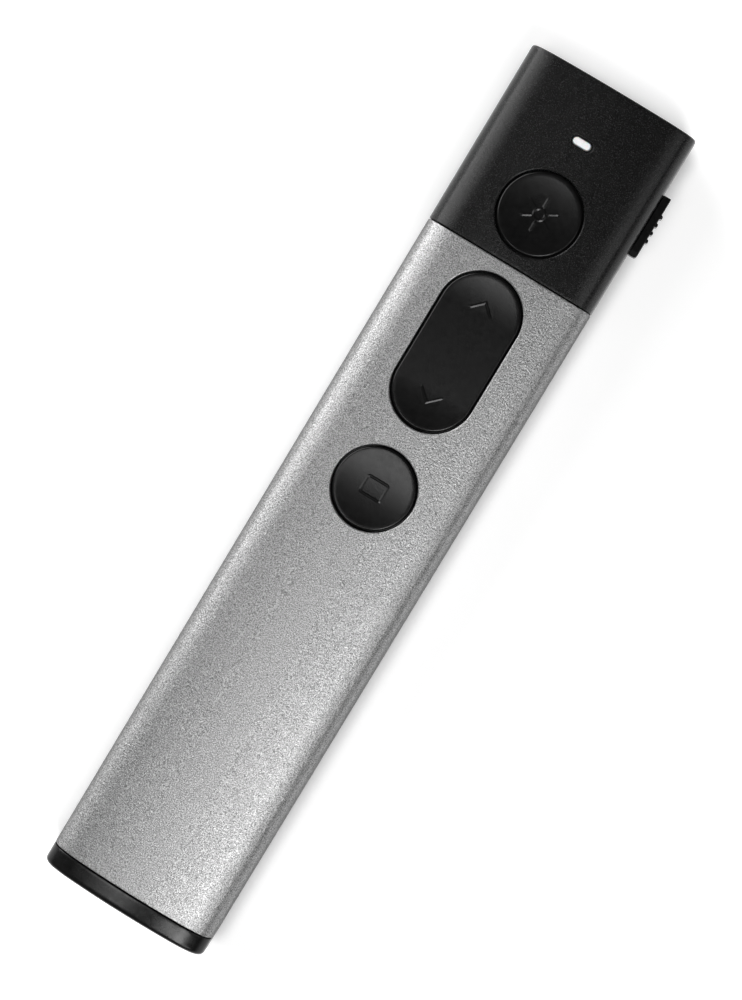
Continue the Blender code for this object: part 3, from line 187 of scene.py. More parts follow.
# Studio: each lamp has a direction in degrees, a size in metres and a power in watts
LAMP_DISTANCE = 1.0
LAMPS = (
    ("overhead_lamp", 240, 76, (0.25, 0.25), 1.3),
    ("right_lamp", -45, 62, (0.28, 0.28), 3.2),
    ("front_lamp", -45, 45, (0.34, 0.34), 1.5),
    ("side_lamp", 0, 45, (0.34, 0.34), 0.8),
    ("high_left_lamp", 180, 45, (0.34, 0.34), 1.3),
    ("left_lamp", 164, 27, (0.95, 0.38), 5.8),
    ("low_lamp", 150, 13, (0.60, 0.34), 3.2),
)
FLOOR_REACH = 3.0
FLOOR_GAP = 0.00002
FLOOR_WHITE = 0.41
# Distances over which the floor's white glow rises from FLOOR_WHITE to full: painted light, dimmer near the
# object than far out
PAINTED_GLOW_RISE = (0.25, 1.8)
# Reach, range and samples of the painted contact shadow in the floor's glow
SHADOW_REACH = 0.004
SHADOW_RANGE = (0.5, 0.86)
SHADOW_SAMPLES = 12

# Backdrop: its brightness by the upward part of the direction, and where the white that only shows ends
BACKDROP_LEVELS = ((0.0, 1.0), (0.10, 1.0), (0.20, 0.35), (0.35, 0.10), (0.50, 0.04))
BACKDROP_TOP = 0.20

# Fineness
SECTION_STEPS = (8, 16, 8, 12)
KEY_STEPS = 48
DISH_STEPS = 14
SHELL_SPAN = 0.0043
ROUND_STEPS = 6
FILLET_STEPS = 10
LINE_STEPS = 6
CORNER_STEPS = 4
BEVEL_STEPS = 4
ROD_STEPS = 32
RIB_STEPS = 24
SPIN_STEPS = 64
POINT_RADIUS = 1e-6
ARC_DEGREES = 30
SIGN_DEGREES = 12
SHELL_DEGREES = 18
RIM_DEGREES = (0, 11.25, 22.5, 33.75, 45, 56.25, 67.5)


# Outline of the body


def crown_drop(x, inset=0.0):
    """How far the upper outline, moved in by inset, lies below its own crest at x."""
    reach, crest = abs(x), BODY_HEIGHT - inset
    if reach <= (CROWN_RADIUS - inset) * math.sin(CROWN_TILT):
        centre_x, centre_z, radius = 0, CROWN_CENTRE_Z, CROWN_RADIUS
    elif reach <= EASE_CENTRE_X + (EASE_RADIUS - inset) * math.sin(EASE_TILT):
        centre_x, centre_z, radius = EASE_CENTRE_X, EASE_CENTRE_Z, EASE_RADIUS
    else:
        centre_x, centre_z, radius = SIDE_CENTRE_X, SHOULDER_Z, SIDE_RADIUS
    return crest - centre_z - math.sqrt((radius - inset) ** 2 - (reach - centre_x) ** 2)


def arc(centre_x, centre_z, radius, start, end, steps):
    angles = [math.radians(start + (end - start) * i / steps) for i in range(steps + 1)]
    return [(centre_x + radius * math.cos(a), centre_z + radius * math.sin(a)) for a in angles]


def section(y, inset):
    """The outline at y, moved in by inset: flat underside, upright sides, round shoulders, crowned top."""
    under_steps, side_steps, ease_steps, crown_steps = SECTION_STEPS
    ease_top, ease_low = 90 - math.degrees(CROWN_TILT), 90 - math.degrees(EASE_TILT)
    right = arc(BODY_WIDTH / 2 - UNDER_RADIUS, UNDER_RADIUS, UNDER_RADIUS - inset, -90, 0, under_steps)
    right += arc(SIDE_CENTRE_X, SHOULDER_Z, SIDE_RADIUS - inset, 0, ease_low, side_steps)
    right += arc(EASE_CENTRE_X, EASE_CENTRE_Z, EASE_RADIUS - inset, ease_low, ease_top, ease_steps)[1:]
    right += arc(0, CROWN_CENTRE_Z, CROWN_RADIUS - inset, ease_top, 90, crown_steps)[1:]
    left = [(-x, z) for x, z in reversed(right[:-1])]
    return [Vector((x, y, z)) for x, z in right + left]


def oval(centre_y, straight, radius, steps=KEY_STEPS):
    """Points round a stadium along the body."""
    points = []
    for side in (1, -1):
        last = steps if straight == 0 else steps + 1
        for i in range(last):
            angle = math.radians(180 * i / steps)
            along = side * (straight / 2 + radius * math.sin(angle))
            points.append((side * radius * math.cos(angle), centre_y + along))
    return points


def level_ring(outline, z):
    return [Vector((x, y, z)) for x, y in outline]


def crown_ring(outline, depth):
    """The outline laid on the body's crowned top, depth below it."""
    return [Vector((x, y, BODY_HEIGHT - crown_drop(x) - depth)) for x, y in outline]


# Mesh builders


def loft(rings):
    """A closed skin through rings of equally many points, with a face over each end."""
    bm = bmesh.new()
    loops = [[bm.verts.new(point) for point in ring] for ring in rings]
    for first, second in zip(loops, loops[1:]):
        for i in range(len(first)):
            j = (i + 1) % len(first)
            bm.faces.new((first[i], first[j], second[j], second[i]))
    bm.faces.new(loops[0])
    bm.faces.new(loops[-1])
    bmesh.ops.recalc_face_normals(bm, faces=bm.faces)
    return bm


def box(low, high):
    bm = bmesh.new()
    size = Vector(high) - Vector(low)
    bmesh.ops.create_cube(bm, size=1)
    bmesh.ops.scale(bm, vec=size, verts=bm.verts)
    bmesh.ops.translate(bm, vec=Vector(low) + size / 2, verts=bm.verts)
    return bm


def rod(start, end, radius, steps=ROD_STEPS):
    run = Vector(end) - Vector(start)
    turn = run.to_track_quat("Z", "Y").to_matrix()
    ring = [(radius * math.cos(a), radius * math.sin(a)) for a in circle(steps)]
    ends = (Vector(start), Vector(end))
    return loft([[place + turn @ Vector((x, y, 0)) for x, y in ring] for place in ends])


def circle(steps):
    return [2 * math.pi * i / steps for i in range(steps)]


def spun(profile, place, steps=SPIN_STEPS):
    """A profile of (radius, distance along +Y) points, spun about the line along +Y through place."""
    rings = []
    for radius, along in profile:
        reach = max(radius, POINT_RADIUS)
        ring = [Vector((reach * math.cos(a), along, reach * math.sin(a))) for a in circle(steps)]
        rings.append([Vector(place) + point for point in ring])
    return loft(rings)


def add_object(name, bm):
    mesh = bpy.data.meshes.new(name)
    bm.to_mesh(mesh)
    bm.free()
    obj = bpy.data.objects.new(name, mesh)
    bpy.context.scene.collection.objects.link(obj)
    return obj


def carve(obj, cuts=(), joins=()):
    """Takes the cuts out of obj and adds the joins to it; the cutters go."""
    helpers = []
    for operation, shapes in (("UNION", joins), ("DIFFERENCE", cuts)):
        for shape in shapes:
            helper = add_object("helper", shape)
            helpers.append(helper)
            modifier = obj.modifiers.new("carve", "BOOLEAN")
            modifier.operation = operation
            modifier.solver = "EXACT"
            modifier.object = helper
    depsgraph = bpy.context.evaluated_depsgraph_get()
    mesh = bpy.data.meshes.new_from_object(obj.evaluated_get(depsgraph))
    obj.modifiers.clear()
    obj.data = mesh
    for helper in helpers:
        bpy.data.objects.remove(helper, do_unlink=True)


def dress(obj, look, body, slot, *nodes, crease=ARC_DEGREES):
    """Smooth shading with crisp edges, a material, a body and the nodes that the piece replaces; the slot is
    not used.
    """
    obj.data.shade_smooth()
    obj.data.set_sharp_from_angle(angle=math.radians(crease))
    weighted = obj.modifiers.new("even shading", "WEIGHTED_NORMAL")
    weighted.keep_sharp = True
    obj.data.materials.clear()
    obj.data.materials.append(LOOKS[look])
    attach(obj, body)
    if nodes:
        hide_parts(*nodes)
    return obj


# Material nodes


class Looks(dict):
    """Materials by name, made when they are first asked for."""

    def __missing__(self, name):
        self[name] = MAKERS[name]()
        return self[name]


def plain(name, colour, roughness, **sockets):
    material = bpy.data.materials.new(name)
    material.use_nodes = True
    shader = material.node_tree.nodes["Principled BSDF"]
    shader.inputs["Base Color"].default_value = (*colour, 1)
    shader.inputs["Roughness"].default_value = roughness
    for socket, value in sockets.items():
        shader.inputs[socket.replace("_", " ")].default_value = value
    return material


def node(material, kind, **values):
    """A node with its sockets set by name."""
    made = material.node_tree.nodes.new(kind)
    for key, value in values.items():
        name = key.replace("_", " ")
        if name in made.inputs:
            made.inputs[name].default_value = value
        else:
            setattr(made, key, value)
    return made


def link(material, source, target):
    material.node_tree.links.new(source, target)


def shader_of(material):
    return material.node_tree.nodes["Principled BSDF"]


def place_on(material, stretch=(1, 1, 1)):
    """Object coordinates, stretched."""
    coordinates = node(material, "ShaderNodeTexCoord")
    mapping = node(material, "ShaderNodeMapping", Scale=stretch)
    link(material, coordinates.outputs["Object"], mapping.inputs["Vector"])
    return mapping.outputs["Vector"]


def noise(material, size, detail=2.0, stretch=(1, 1, 1), roughness=0.5):
    made = node(material, "ShaderNodeTexNoise", Scale=1 / size, Detail=detail, Roughness=roughness)
    link(material, place_on(material, stretch), made.inputs["Vector"])
    return made.outputs["Fac"]


def cells(material, size):
    """Random values in cells of about that size."""
    made = node(material, "ShaderNodeTexVoronoi", Scale=1 / size)
    link(material, place_on(material), made.inputs["Vector"])
    return made.outputs["Color"]


def spread(material, source, low, high, start=0.3, end=0.7):
    """The source from start to end, spread over low to high."""
    made = node(material, "ShaderNodeMapRange")
    made.inputs["From Min"].default_value = start
    made.inputs["From Max"].default_value = end
    made.inputs["To Min"].default_value = low
    made.inputs["To Max"].default_value = high
    link(material, source, made.inputs["Value"])
    return made.outputs["Result"]


def tint(material, source, dark, light, start=0.3, end=0.7):
    """A colour between dark and light, by the source."""
    made = node(material, "ShaderNodeValToRGB")
    ramp = made.color_ramp
    ramp.elements[0].position = start
    ramp.elements[0].color = (*dark, 1)
    ramp.elements[1].position = end
    ramp.elements[1].color = (*light, 1)
    link(material, source, made.inputs["Fac"])
    return made.outputs["Color"]


def bumps(material, *layers):
    """Height layers as (source, height in metres), stacked on the shader's normal."""
    last = None
    for source, height in layers:
        made = node(material, "ShaderNodeBump", Strength=1.0, Distance=height)
        link(material, source, made.inputs["Height"])
        if last is not None:
            link(material, last, made.inputs["Normal"])
        last = made.outputs["Normal"]
    link(material, last, shader_of(material).inputs["Normal"])


def colour_by(material, output):
    link(material, output, shader_of(material).inputs["Base Color"])


def roughness_by(material, output):
    link(material, output, shader_of(material).inputs["Roughness"])


def grey(value):
    return (value, value, value)


# Materials


def aluminium():
    made = plain("blasted_aluminium", grey(0.30), 0.42, Metallic=1.0)
    shader_of(made).inputs["Specular Tint"].default_value = (*grey(0.30), 1)
    grain = noise(made, 0.00015, 3.0)
    colour_by(made, tint(made, grain, grey(0.12), grey(0.48), 0.34, 0.66))
    roughness_by(made, spread(made, noise(made, 0.0011), 0.39, 0.45))
    bumps(made, (noise(made, 0.00028, 3.0), 0.00004), (cells(made, 0.00016), 0.000010))
    return made


def textured_black():
    made = plain("textured_black_moulding", grey(0.004), 0.25, Specular_IOR_Level=0.32)
    speckle = noise(made, 0.00016, 3.0)
    colour_by(made, tint(made, speckle, grey(0.001), grey(0.018), 0.52, 0.74))
    roughness_by(made, spread(made, speckle, 0.20, 0.30))
    bumps(made, (noise(made, 0.00016, 2.0), 0.00002), (cells(made, 0.00014), 0.00002))
    return made


def plain_black():
    made = plain("inner_black_moulding", grey(0.014), 0.5, Specular_IOR_Level=0.4)
    colour_by(made, tint(made, noise(made, 0.0009, 4.0), grey(0.011), grey(0.018)))
    bumps(made, (noise(made, 0.0003, 3.0), 0.000012))
    return made


def satin_black():
    made = plain("satin_black_moulding", grey(0.004), 0.23, Specular_IOR_Level=0.25)
    colour_by(made, tint(made, noise(made, 0.0012, 4.0), grey(0.003), grey(0.005)))
    roughness_by(made, spread(made, noise(made, 0.0006, 3.0), 0.20, 0.25))
    bumps(made, (noise(made, 0.00022, 2.0), 0.000005))
    return made


def gloss_black():
    made = plain("polished_black_moulding", grey(0.005), 0.18, Specular_IOR_Level=0.22)
    colour_by(made, tint(made, noise(made, 0.0016, 4.0), grey(0.004), grey(0.008)))
    roughness_by(made, spread(made, noise(made, 0.0010, 4.0), 0.16, 0.24))
    bumps(made, (noise(made, 0.0020, 2.0), 0.000010), (noise(made, 0.00018, 2.0), 0.000002))
    return made


def milky_white_painted_glow():
    made = plain("milky_light_guide_painted_glow", grey(0.86), 0.3, Subsurface_Weight=0.25)
    shader_of(made).inputs["Subsurface Scale"].default_value = 0.0008
    # A faint painted glow: white emission makes the light guide brighter than the lamps alone light it.
    shader_of(made).inputs["Emission Color"].default_value = (1, 1, 1, 1)
    shader_of(made).inputs["Emission Strength"].default_value = 0.04
    colour_by(made, tint(made, noise(made, 0.0005, 3.0), grey(0.80), grey(0.92)))
    bumps(made, (noise(made, 0.0004, 2.0), 0.000006))
    return made


def clear_plastic():
    made = plain("clear_window", (0.93, 0.95, 0.96), 0.03, Transmission_Weight=1.0)
    shader_of(made).inputs["IOR"].default_value = 1.49
    roughness_by(made, spread(made, noise(made, 0.0008, 3.0), 0.01, 0.05))
    bumps(made, (noise(made, 0.0012, 2.0), 0.000002))
    return made


def metal(name, dark, light, roughness, stretch, size=0.0006, height=0.000001):
    """A metal with fine marks drawn out in one direction."""
    made = plain(name, light, roughness, Metallic=1.0)
    marks = noise(made, size, 4.0, stretch)
    colour_by(made, tint(made, marks, dark, light))
    roughness_by(made, spread(made, marks, roughness - 0.03, roughness + 0.03))
    bumps(made, (marks, height))
    return made


def brass():
    return metal("turned_brass", (0.58, 0.40, 0.15), (0.74, 0.56, 0.26), 0.28, (1, 6, 1))


def steel():
    return metal("nickel_plated_steel", grey(0.56), grey(0.64), 0.24, (1, 0.3, 1))


def spring():
    return metal("bright_spring_strip", (0.62, 0.60, 0.56), (0.76, 0.74, 0.70), 0.24, (1, 8, 1))


def gold():
    return metal("gold_flashed_contact", (0.72, 0.50, 0.18), (0.86, 0.64, 0.28), 0.22, (1, 5, 1))


def board():
    made = plain("green_solder_mask", (0.02, 0.16, 0.07), 0.32)
    tracks = node(made, "ShaderNodeTexBrick", offset=0.5, Scale=1 / 0.004)
    tracks.inputs["Color1"].default_value = (1, 1, 1, 1)
    tracks.inputs["Color2"].default_value = (0.9, 0.9, 0.9, 1)
    tracks.inputs["Mortar"].default_value = (0, 0, 0, 1)
    tracks.inputs["Mortar Size"].default_value = 0.03
    link(made, place_on(made), tracks.inputs["Vector"])
    mask = tint(made, tracks.outputs["Color"], (0.05, 0.27, 0.12), (0.014, 0.12, 0.05), 0.1, 0.8)
    colour_by(made, mask)
    roughness_by(made, spread(made, noise(made, 0.0008, 3.0), 0.26, 0.38))
    bumps(made, (tracks.outputs["Color"], 0.00002), (noise(made, 0.0003), 0.000004))
    return made


def chip_epoxy():
    made = plain("matt_black_epoxy", grey(0.03), 0.55)
    colour_by(made, tint(made, noise(made, 0.0003, 4.0), grey(0.022), grey(0.042)))
    bumps(made, (noise(made, 0.00015, 3.0), 0.000008))
    return made


def foil():
    made = plain("pouch_foil", (0.55, 0.56, 0.58), 0.36, Metallic=0.85)
    creases_and_painted_shade = noise(made, 0.0042, 5.0, (1, 0.6, 1), 0.55)
    # The tone follows the crease height, lighter on the ridges and darker in the hollows: painted shade in
    # each crease.
    colour_by(made, tint(made, creases_and_painted_shade, (0.48, 0.49, 0.51), (0.62, 0.63, 0.65)))
    roughness_by(made, spread(made, noise(made, 0.0012, 3.0), 0.30, 0.44))
    bumps(made, (creases_and_painted_shade, 0.00025), (noise(made, 0.0004), 0.00001))
    return made


def moulded(name, dark, light, roughness):
    made = plain(name, light, roughness)
    colour_by(made, tint(made, noise(made, 0.0010, 4.0), dark, light))
    roughness_by(made, spread(made, noise(made, 0.0006, 3.0), roughness - 0.05, roughness + 0.05))
    bumps(made, (noise(made, 0.0003, 3.0), 0.00001))
    return made


def cream():
    return moulded("natural_nylon", (0.72, 0.67, 0.54), (0.82, 0.78, 0.66), 0.42)


def red_wire():
    return moulded("red_insulation", (0.48, 0.02, 0.015), (0.60, 0.04, 0.025), 0.40)


def black_wire():
    return moulded("black_insulation", grey(0.014), grey(0.024), 0.40)


MAKERS = {
    "aluminium": aluminium,
    "textured black": textured_black,
    "inner black": plain_black,
    "satin black": satin_black,
    "gloss black": gloss_black,
    "milky white": milky_white_painted_glow,
    "clear": clear_plastic,
    "brass": brass,
    "steel": steel,
    "spring": spring,
    "gold": gold,
    "board": board,
    "chip": chip_epoxy,
    "foil": foil,
    "cream": cream,
    "red wire": red_wire,
    "black wire": black_wire,
}
SLOT_LOOKS = {
    "sleeve_aluminium": "aluminium",
    "black_plastic": "inner black",
    "satin_black": "satin black",
    "gloss_black": "gloss black",
    "white_diffuser": "milky white",
    "clear_plastic": "clear",
    "turned_brass": "brass",
    "plated_steel": "steel",
    "spring_metal": "spring",
    "board_green": "board",
    "chip_black": "chip",
    "battery_foil": "foil",
    "cream_plastic": "cream",
    "red_wire": "red wire",
    "black_wire": "black wire",
}
LOOKS = Looks()


# Shells


def end_rings(y, inwards, edge, steps=ROUND_STEPS):
    """Rings of a rounded end, from its face to a supporting ring on the full outline."""
    rings = []
    for i in range(steps + 1):
        angle = math.radians(90 * i / steps)
        along = edge * (1 - math.cos(angle))
        rings.append(section(y + inwards * along, edge * (1 - math.sin(angle))))
    rings.append(section(y + inwards * (edge + SUPPORT), 0))
    return rings


def shell(tail, front, tail_edge, front_edge):
    """The whole outline from tail to front, with rounded ends and rings between them."""
    rings = end_rings(tail, 1, tail_edge)
    start, end = tail + tail_edge + SUPPORT, front - front_edge - SUPPORT
    spans = max(1, round((end - start) / SHELL_SPAN))
    rings += [section(start + (end - start) * i / spans, 0) for i in range(1, spans)]
    return loft(rings + end_rings(front, -1, front_edge)[::-1])


def inner_block(tail, front, inset):
    """A block with the body's outline, moved in by inset."""
    return loft([section(tail, inset), section(front, inset)])


def rimmed_hole(outline_at, rim=HOLE_RIM, floor=FLANGE_Z):
    """A cutter up through the top wall, with a rounded rim. outline_at gives the hole's outline, widened."""
    rings = [level_ring(outline_at(0), floor)]
    for degrees in RIM_DEGREES:
        angle = math.radians(degrees)
        rings.append(crown_ring(outline_at(rim * (1 - math.cos(angle))), rim * (1 - math.sin(angle))))
    wide = rim * (1 - math.cos(angle)) + OVERRUN * math.sin(angle)
    high = OVERRUN * math.cos(angle) - rim * (1 - math.sin(angle))
    rings.append(crown_ring(outline_at(wide), -high))
    return loft(rings)


def key_hole(centre_y, straight):
    return rimmed_hole(lambda wider: oval(centre_y, straight, HOLE_RADIUS + wider))


def make_sleeve():
    tail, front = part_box("sleeve")[0].y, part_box("sleeve")[1].y
    sleeve = add_object("sleeve_skin", shell(tail, front, SLEEVE_EDGE, SLEEVE_EDGE))
    bore = inner_block(tail - OVERRUN, front + OVERRUN, SLEEVE_WALL)
    carve(sleeve, cuts=(bore, key_hole(ROCKER_Y, ROCKER_STRAIGHT), key_hole(SCREEN_KEY_Y, 0)))
    dress(sleeve, "aluminium", "housing", "sleeve_aluminium", "sleeve", crease=SHELL_DEGREES)


def guide_outline(radius, straight=GUIDE_LENGTH - GUIDE_WIDTH):
    """Points round the indicator's stadium, which lies across the body."""
    turned = oval(0, straight, radius, KEY_STEPS // 2)
    return [(along, GUIDE_Y - across) for across, along in turned]


def beam_passage():
    """The seat of the laser's window, and the flared aperture in front of it."""
    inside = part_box("laser_window")[0].y - SEAT
    depth = FRONT_Y - inside
    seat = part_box("laser_window")[1].y + SEAT - inside
    window = (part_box("laser_window")[1].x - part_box("laser_window")[0].x) / 2 + SEAT
    profile = [(window, -OVERRUN), (window, seat)]
    profile += [(APERTURE_RADIUS, seat), (APERTURE_RADIUS, depth - APERTURE_FLARE)]
    for i in range(1, ROUND_STEPS):
        angle = math.radians(90 * i / ROUND_STEPS)
        radius = APERTURE_RADIUS + APERTURE_FLARE * (1 - math.cos(angle))
        profile.append((radius, depth - APERTURE_FLARE * (1 - math.sin(angle))))
    rise = APERTURE_FLARE * (1 - math.sin(angle)) + OVERRUN
    profile.append((profile[-1][0] + rise * math.tan(angle), depth + OVERRUN))
    return spun(profile, (0, inside, BEAM_Z))


def knob_slot():
    """The slot in the side wall that the knob's stem slides in."""
    low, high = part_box("slide_knob")
    middle_y, middle_z = (low.y + high.y) / 2, (low.z + high.z) / 2
    inside = BODY_WIDTH / 2 - HEAD_WALL - OVERRUN
    tail_end = middle_y - KNOB_TRAVEL - STEM_HALF_LENGTH - FIT
    head_end = middle_y + STEM_HALF_LENGTH + FIT
    return box(
        (inside, tail_end, middle_z - STEM_HALF_HEIGHT - FIT),
        (BODY_WIDTH / 2 + OVERRUN, head_end, middle_z + STEM_HALF_HEIGHT + FIT),
    )


def make_head():
    inside_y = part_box("laser_window")[0].y - SEAT
    head = add_object("head_skin", shell(SEAM_Y, FRONT_Y, SLEEVE_EDGE, FRONT_EDGE))
    hollow = inner_block(SEAM_Y - OVERRUN, inside_y, HEAD_WALL)
    recess = rimmed_hole(
        lambda wider: guide_outline(SLOT_WIDTH / 2 + wider, SLOT_LENGTH - SLOT_WIDTH),
        SLOT_RIM,
        BODY_HEIGHT - SLOT_DEPTH,
    )
    slot = rimmed_hole(lambda wider: guide_outline(GUIDE_WIDTH / 2 + SEAT + wider), SLOT_RIM)
    cuts = (hollow, key_hole(LASER_KEY_Y, 0), recess, slot, knob_slot(), beam_passage())
    carve(head, cuts=cuts)
    dress(head, "textured black", "housing", "black_plastic", "head_shell", crease=SHELL_DEGREES)


def make_indicator():
    column = guide_outline(GUIDE_WIDTH / 2)
    foot = guide_outline(GUIDE_WIDTH / 2 + GUIDE_LIP)
    rim_x = GUIDE_LENGTH / 2 + GUIDE_LIP
    foot_top = BODY_HEIGHT - HEAD_WALL - crown_drop(rim_x, HEAD_WALL) - SEAT
    rings = [
        level_ring(column, GUIDE_LOW.z),
        level_ring(column, foot_top - GUIDE_FOOT),
        level_ring(foot, foot_top - GUIDE_FOOT),
        level_ring(foot, foot_top),
        level_ring(column, foot_top),
    ]
    for i in range(ROUND_STEPS + 1):
        angle = math.radians(90 * i / ROUND_STEPS)
        outline = guide_outline(GUIDE_WIDTH / 2 - GUIDE_EDGE * (1 - math.cos(angle)))
        rings.append(crown_ring(outline, SEAT + GUIDE_EDGE * (1 - math.sin(angle))))
    guide = add_object("indicator_skin", loft(rings))
    dress(guide, "milky white", "housing", "white_diffuser", "indicator_window")


# Keys and their raised signs


def dish_depth(across, along, straight):
    """Depth of a key's dished top below the crown, at a place measured from the key's middle."""
    reach = math.hypot(across, max(abs(along) - straight / 2, 0))
    share = min(reach / (KEY_RADIUS - KEY_FILLET), 1)
    return KEY_RECESS + DISH_DEPTH * (1 - share**2)


def key_skin(centre_y, straight):
    """Flange, neck, rounded edge and dished top of a key, as rings round its middle."""
    flange = oval(centre_y, straight, FLANGE_RADIUS)
    rings = [level_ring(flange, FLANGE_Z), level_ring(flange, FLANGE_TOP)]
    rings.append(level_ring(oval(centre_y, straight, KEY_RADIUS), FLANGE_TOP))
    rings.append(crown_ring(oval(centre_y, straight, KEY_RADIUS), KEY_RECESS + KEY_FILLET + SUPPORT / 2))
    for i in range(FILLET_STEPS + 1):
        angle = math.radians(90 * i / FILLET_STEPS)
        inset = KEY_FILLET * (1 - math.cos(angle))
        depth = KEY_RECESS + KEY_FILLET * (1 - math.sin(angle))
        rings.append(crown_ring(oval(centre_y, straight, KEY_RADIUS - inset), depth))
    dish_radius = KEY_RADIUS - KEY_FILLET
    for i in range(1, DISH_STEPS):
        radius = dish_radius * (1 - i / DISH_STEPS)
        depth = dish_depth(radius, 0, 0)
        rings.append(crown_ring(oval(centre_y, straight, radius), depth))
    return loft(rings)


def sign(points, centre_y, straight, closed=False):
    """A raised line through points, given from the key's middle, that follows the dished top."""
    profile = [(-1, -SIGN_ROOT), (1, -SIGN_ROOT), (1, -SIGN_FOOT)]
    profile += [(SIGN_TOP_SHARE, SIGN_HEIGHT), (-SIGN_TOP_SHARE, SIGN_HEIGHT), (-1, -SIGN_FOOT)]
    path = [Vector(point) for point in points]
    stations = []
    for i, point in enumerate(path):
        before = path[i - 1] if closed or i > 0 else point
        after = path[(i + 1) % len(path)] if closed or i + 1 < len(path) else point
        first = (point - before).normalized() if before != point else (after - point).normalized()
        second = (after - point).normalized() if after != point else first
        side = Vector((-(first + second).y, (first + second).x)).normalized()
        lean = max(side.dot(Vector((-first.y, first.x))), SIGN_LEAN_LIMIT)
        stations.append((point, side * SIGN_HALF_WIDTH / lean, 1.0))
    if not closed:
        stations = rounded_ends(stations, path)
    rings = []
    for point, side, share in stations:
        ring = []
        for across, rise in profile:
            place = point + side * across * share
            top = BODY_HEIGHT - crown_drop(place.x) - dish_depth(place.x, place.y, straight)
            lift = rise if rise < 0 else rise * share
            ring.append(Vector((place.x, centre_y + place.y, top + lift)))
        rings.append(ring)
    return tube(rings) if closed else loft(rings)


def rounded_ends(stations, path):
    """The same stations with a half-round end added to each end of the line."""
    start = (path[0] - path[1]).normalized()
    end = (path[-1] - path[-2]).normalized()
    head, tail = [], []
    for degrees in SIGN_END_DEGREES:
        angle = math.radians(degrees)
        reach = SIGN_HALF_WIDTH * math.sin(angle)
        head.append((path[0] + start * reach, stations[0][1], math.cos(angle)))
        tail.append((path[-1] + end * reach, stations[-1][1], math.cos(angle)))
    return head + stations + tail[::-1]


def tube(rings):
    """A closed skin through a loop of rings."""
    bm = bmesh.new()
    loops = [[bm.verts.new(point) for point in ring] for ring in rings]
    for first, second in zip(loops, loops[1:] + loops[:1]):
        for i in range(len(first)):
            j = (i + 1) % len(first)
            bm.faces.new((first[i], first[j], second[j], second[i]))
    bmesh.ops.recalc_face_normals(bm, faces=bm.faces)
    return bm


def line(start, end, steps=LINE_STEPS):
    """Points from start to end, both of them included."""
    first, last = Vector(start), Vector(end)
    return [first.lerp(last, i / steps) for i in range(steps + 1)]


def sun_sign(centre_y):
    """A small ring with rays round it."""
    ring = [(SUN_RING * math.cos(a), SUN_RING * math.sin(a)) for a in circle(ROD_STEPS)]
    signs = [sign(ring, centre_y, 0, True)]
    for i in range(SUN_RAYS):
        angle = math.radians(360 / SUN_RAYS * i)
        way = Vector((math.sin(angle), math.cos(angle)))
        signs.append(sign(line(way * SUN_RAY_START, way * SUN_RAY_END), centre_y, 0))
    return signs


def chevron_sign(towards):
    """A chevron that points to the head (1) or to the tail (-1)."""
    left = (-CHEVRON_HALF_WIDTH, towards * CHEVRON_ARM_END)
    right = (CHEVRON_HALF_WIDTH, towards * CHEVRON_ARM_END)
    apex = (0, towards * CHEVRON_TIP)
    return sign(line(left, apex) + line(apex, right)[1:], ROCKER_Y, ROCKER_STRAIGHT)


def screen_sign():
    """A rectangle with rounded corners, with more points along its sides."""
    points = []
    for quarter, (side_x, side_y) in enumerate(((1, 1), (-1, 1), (-1, -1), (1, -1))):
        for i in range(CORNER_STEPS + 1):
            angle = math.radians(90 * quarter + 90 * i / CORNER_STEPS)
            x = side_x * (SCREEN_HALF_WIDTH - SCREEN_CORNER) + SCREEN_CORNER * math.cos(angle)
            y = side_y * (SCREEN_HALF_LENGTH - SCREEN_CORNER) + SCREEN_CORNER * math.sin(angle)
            points.append((x, y))
    dense = []
    for first, second in zip(points, points[1:] + points[:1]):
        long_side = (Vector(second) - Vector(first)).length > 2 * SCREEN_CORNER
        steps = LINE_STEPS if long_side else 1
        dense += line(first, second, steps)[:-1]
    return [sign(dense, SCREEN_KEY_Y, 0, True)]


def post(centre_y):
    """The post under a key that presses its dome."""
    bottom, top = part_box("laser_button")[0].z, FLANGE_Z + FLANGE_THICKNESS / 2
    return rod((0, centre_y, bottom), (0, centre_y, top), POST_RADIUS)


def make_keys():
    laser = add_object("laser_key_skin", key_skin(LASER_KEY_Y, 0))
    carve(laser, joins=[post(LASER_KEY_Y)] + sun_sign(LASER_KEY_Y))
    dress(laser, "satin black", "laser_key", "satin_black", "laser_button", crease=SIGN_DEGREES)
    screen = add_object("screen_key_skin", key_skin(SCREEN_KEY_Y, 0))
    carve(screen, joins=[post(SCREEN_KEY_Y)] + screen_sign())
    dress(screen, "satin black", "screen_key", "satin_black", "screen_button", crease=SIGN_DEGREES)
    rocker = add_object("rocker_skin", key_skin(ROCKER_Y, ROCKER_STRAIGHT))
    posts = [post(ROCKER_Y + DOME_SPREAD), post(ROCKER_Y - DOME_SPREAD)]
    pin_z = FLANGE_Z + PIN_RADIUS
    root, tip = FLANGE_RADIUS - PIN_INSET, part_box("rocker_key")[1].x
    pins = [
        rod((side * root, ROCKER_Y, pin_z), (side * tip, ROCKER_Y, pin_z), PIN_RADIUS)
        for side in (1, -1)
    ]
    carve(rocker, joins=posts + pins + [chevron_sign(1), chevron_sign(-1)])
    dress(rocker, "satin black", "page_rocker", "satin_black", "rocker_key", crease=SIGN_DEGREES)


# Power knob


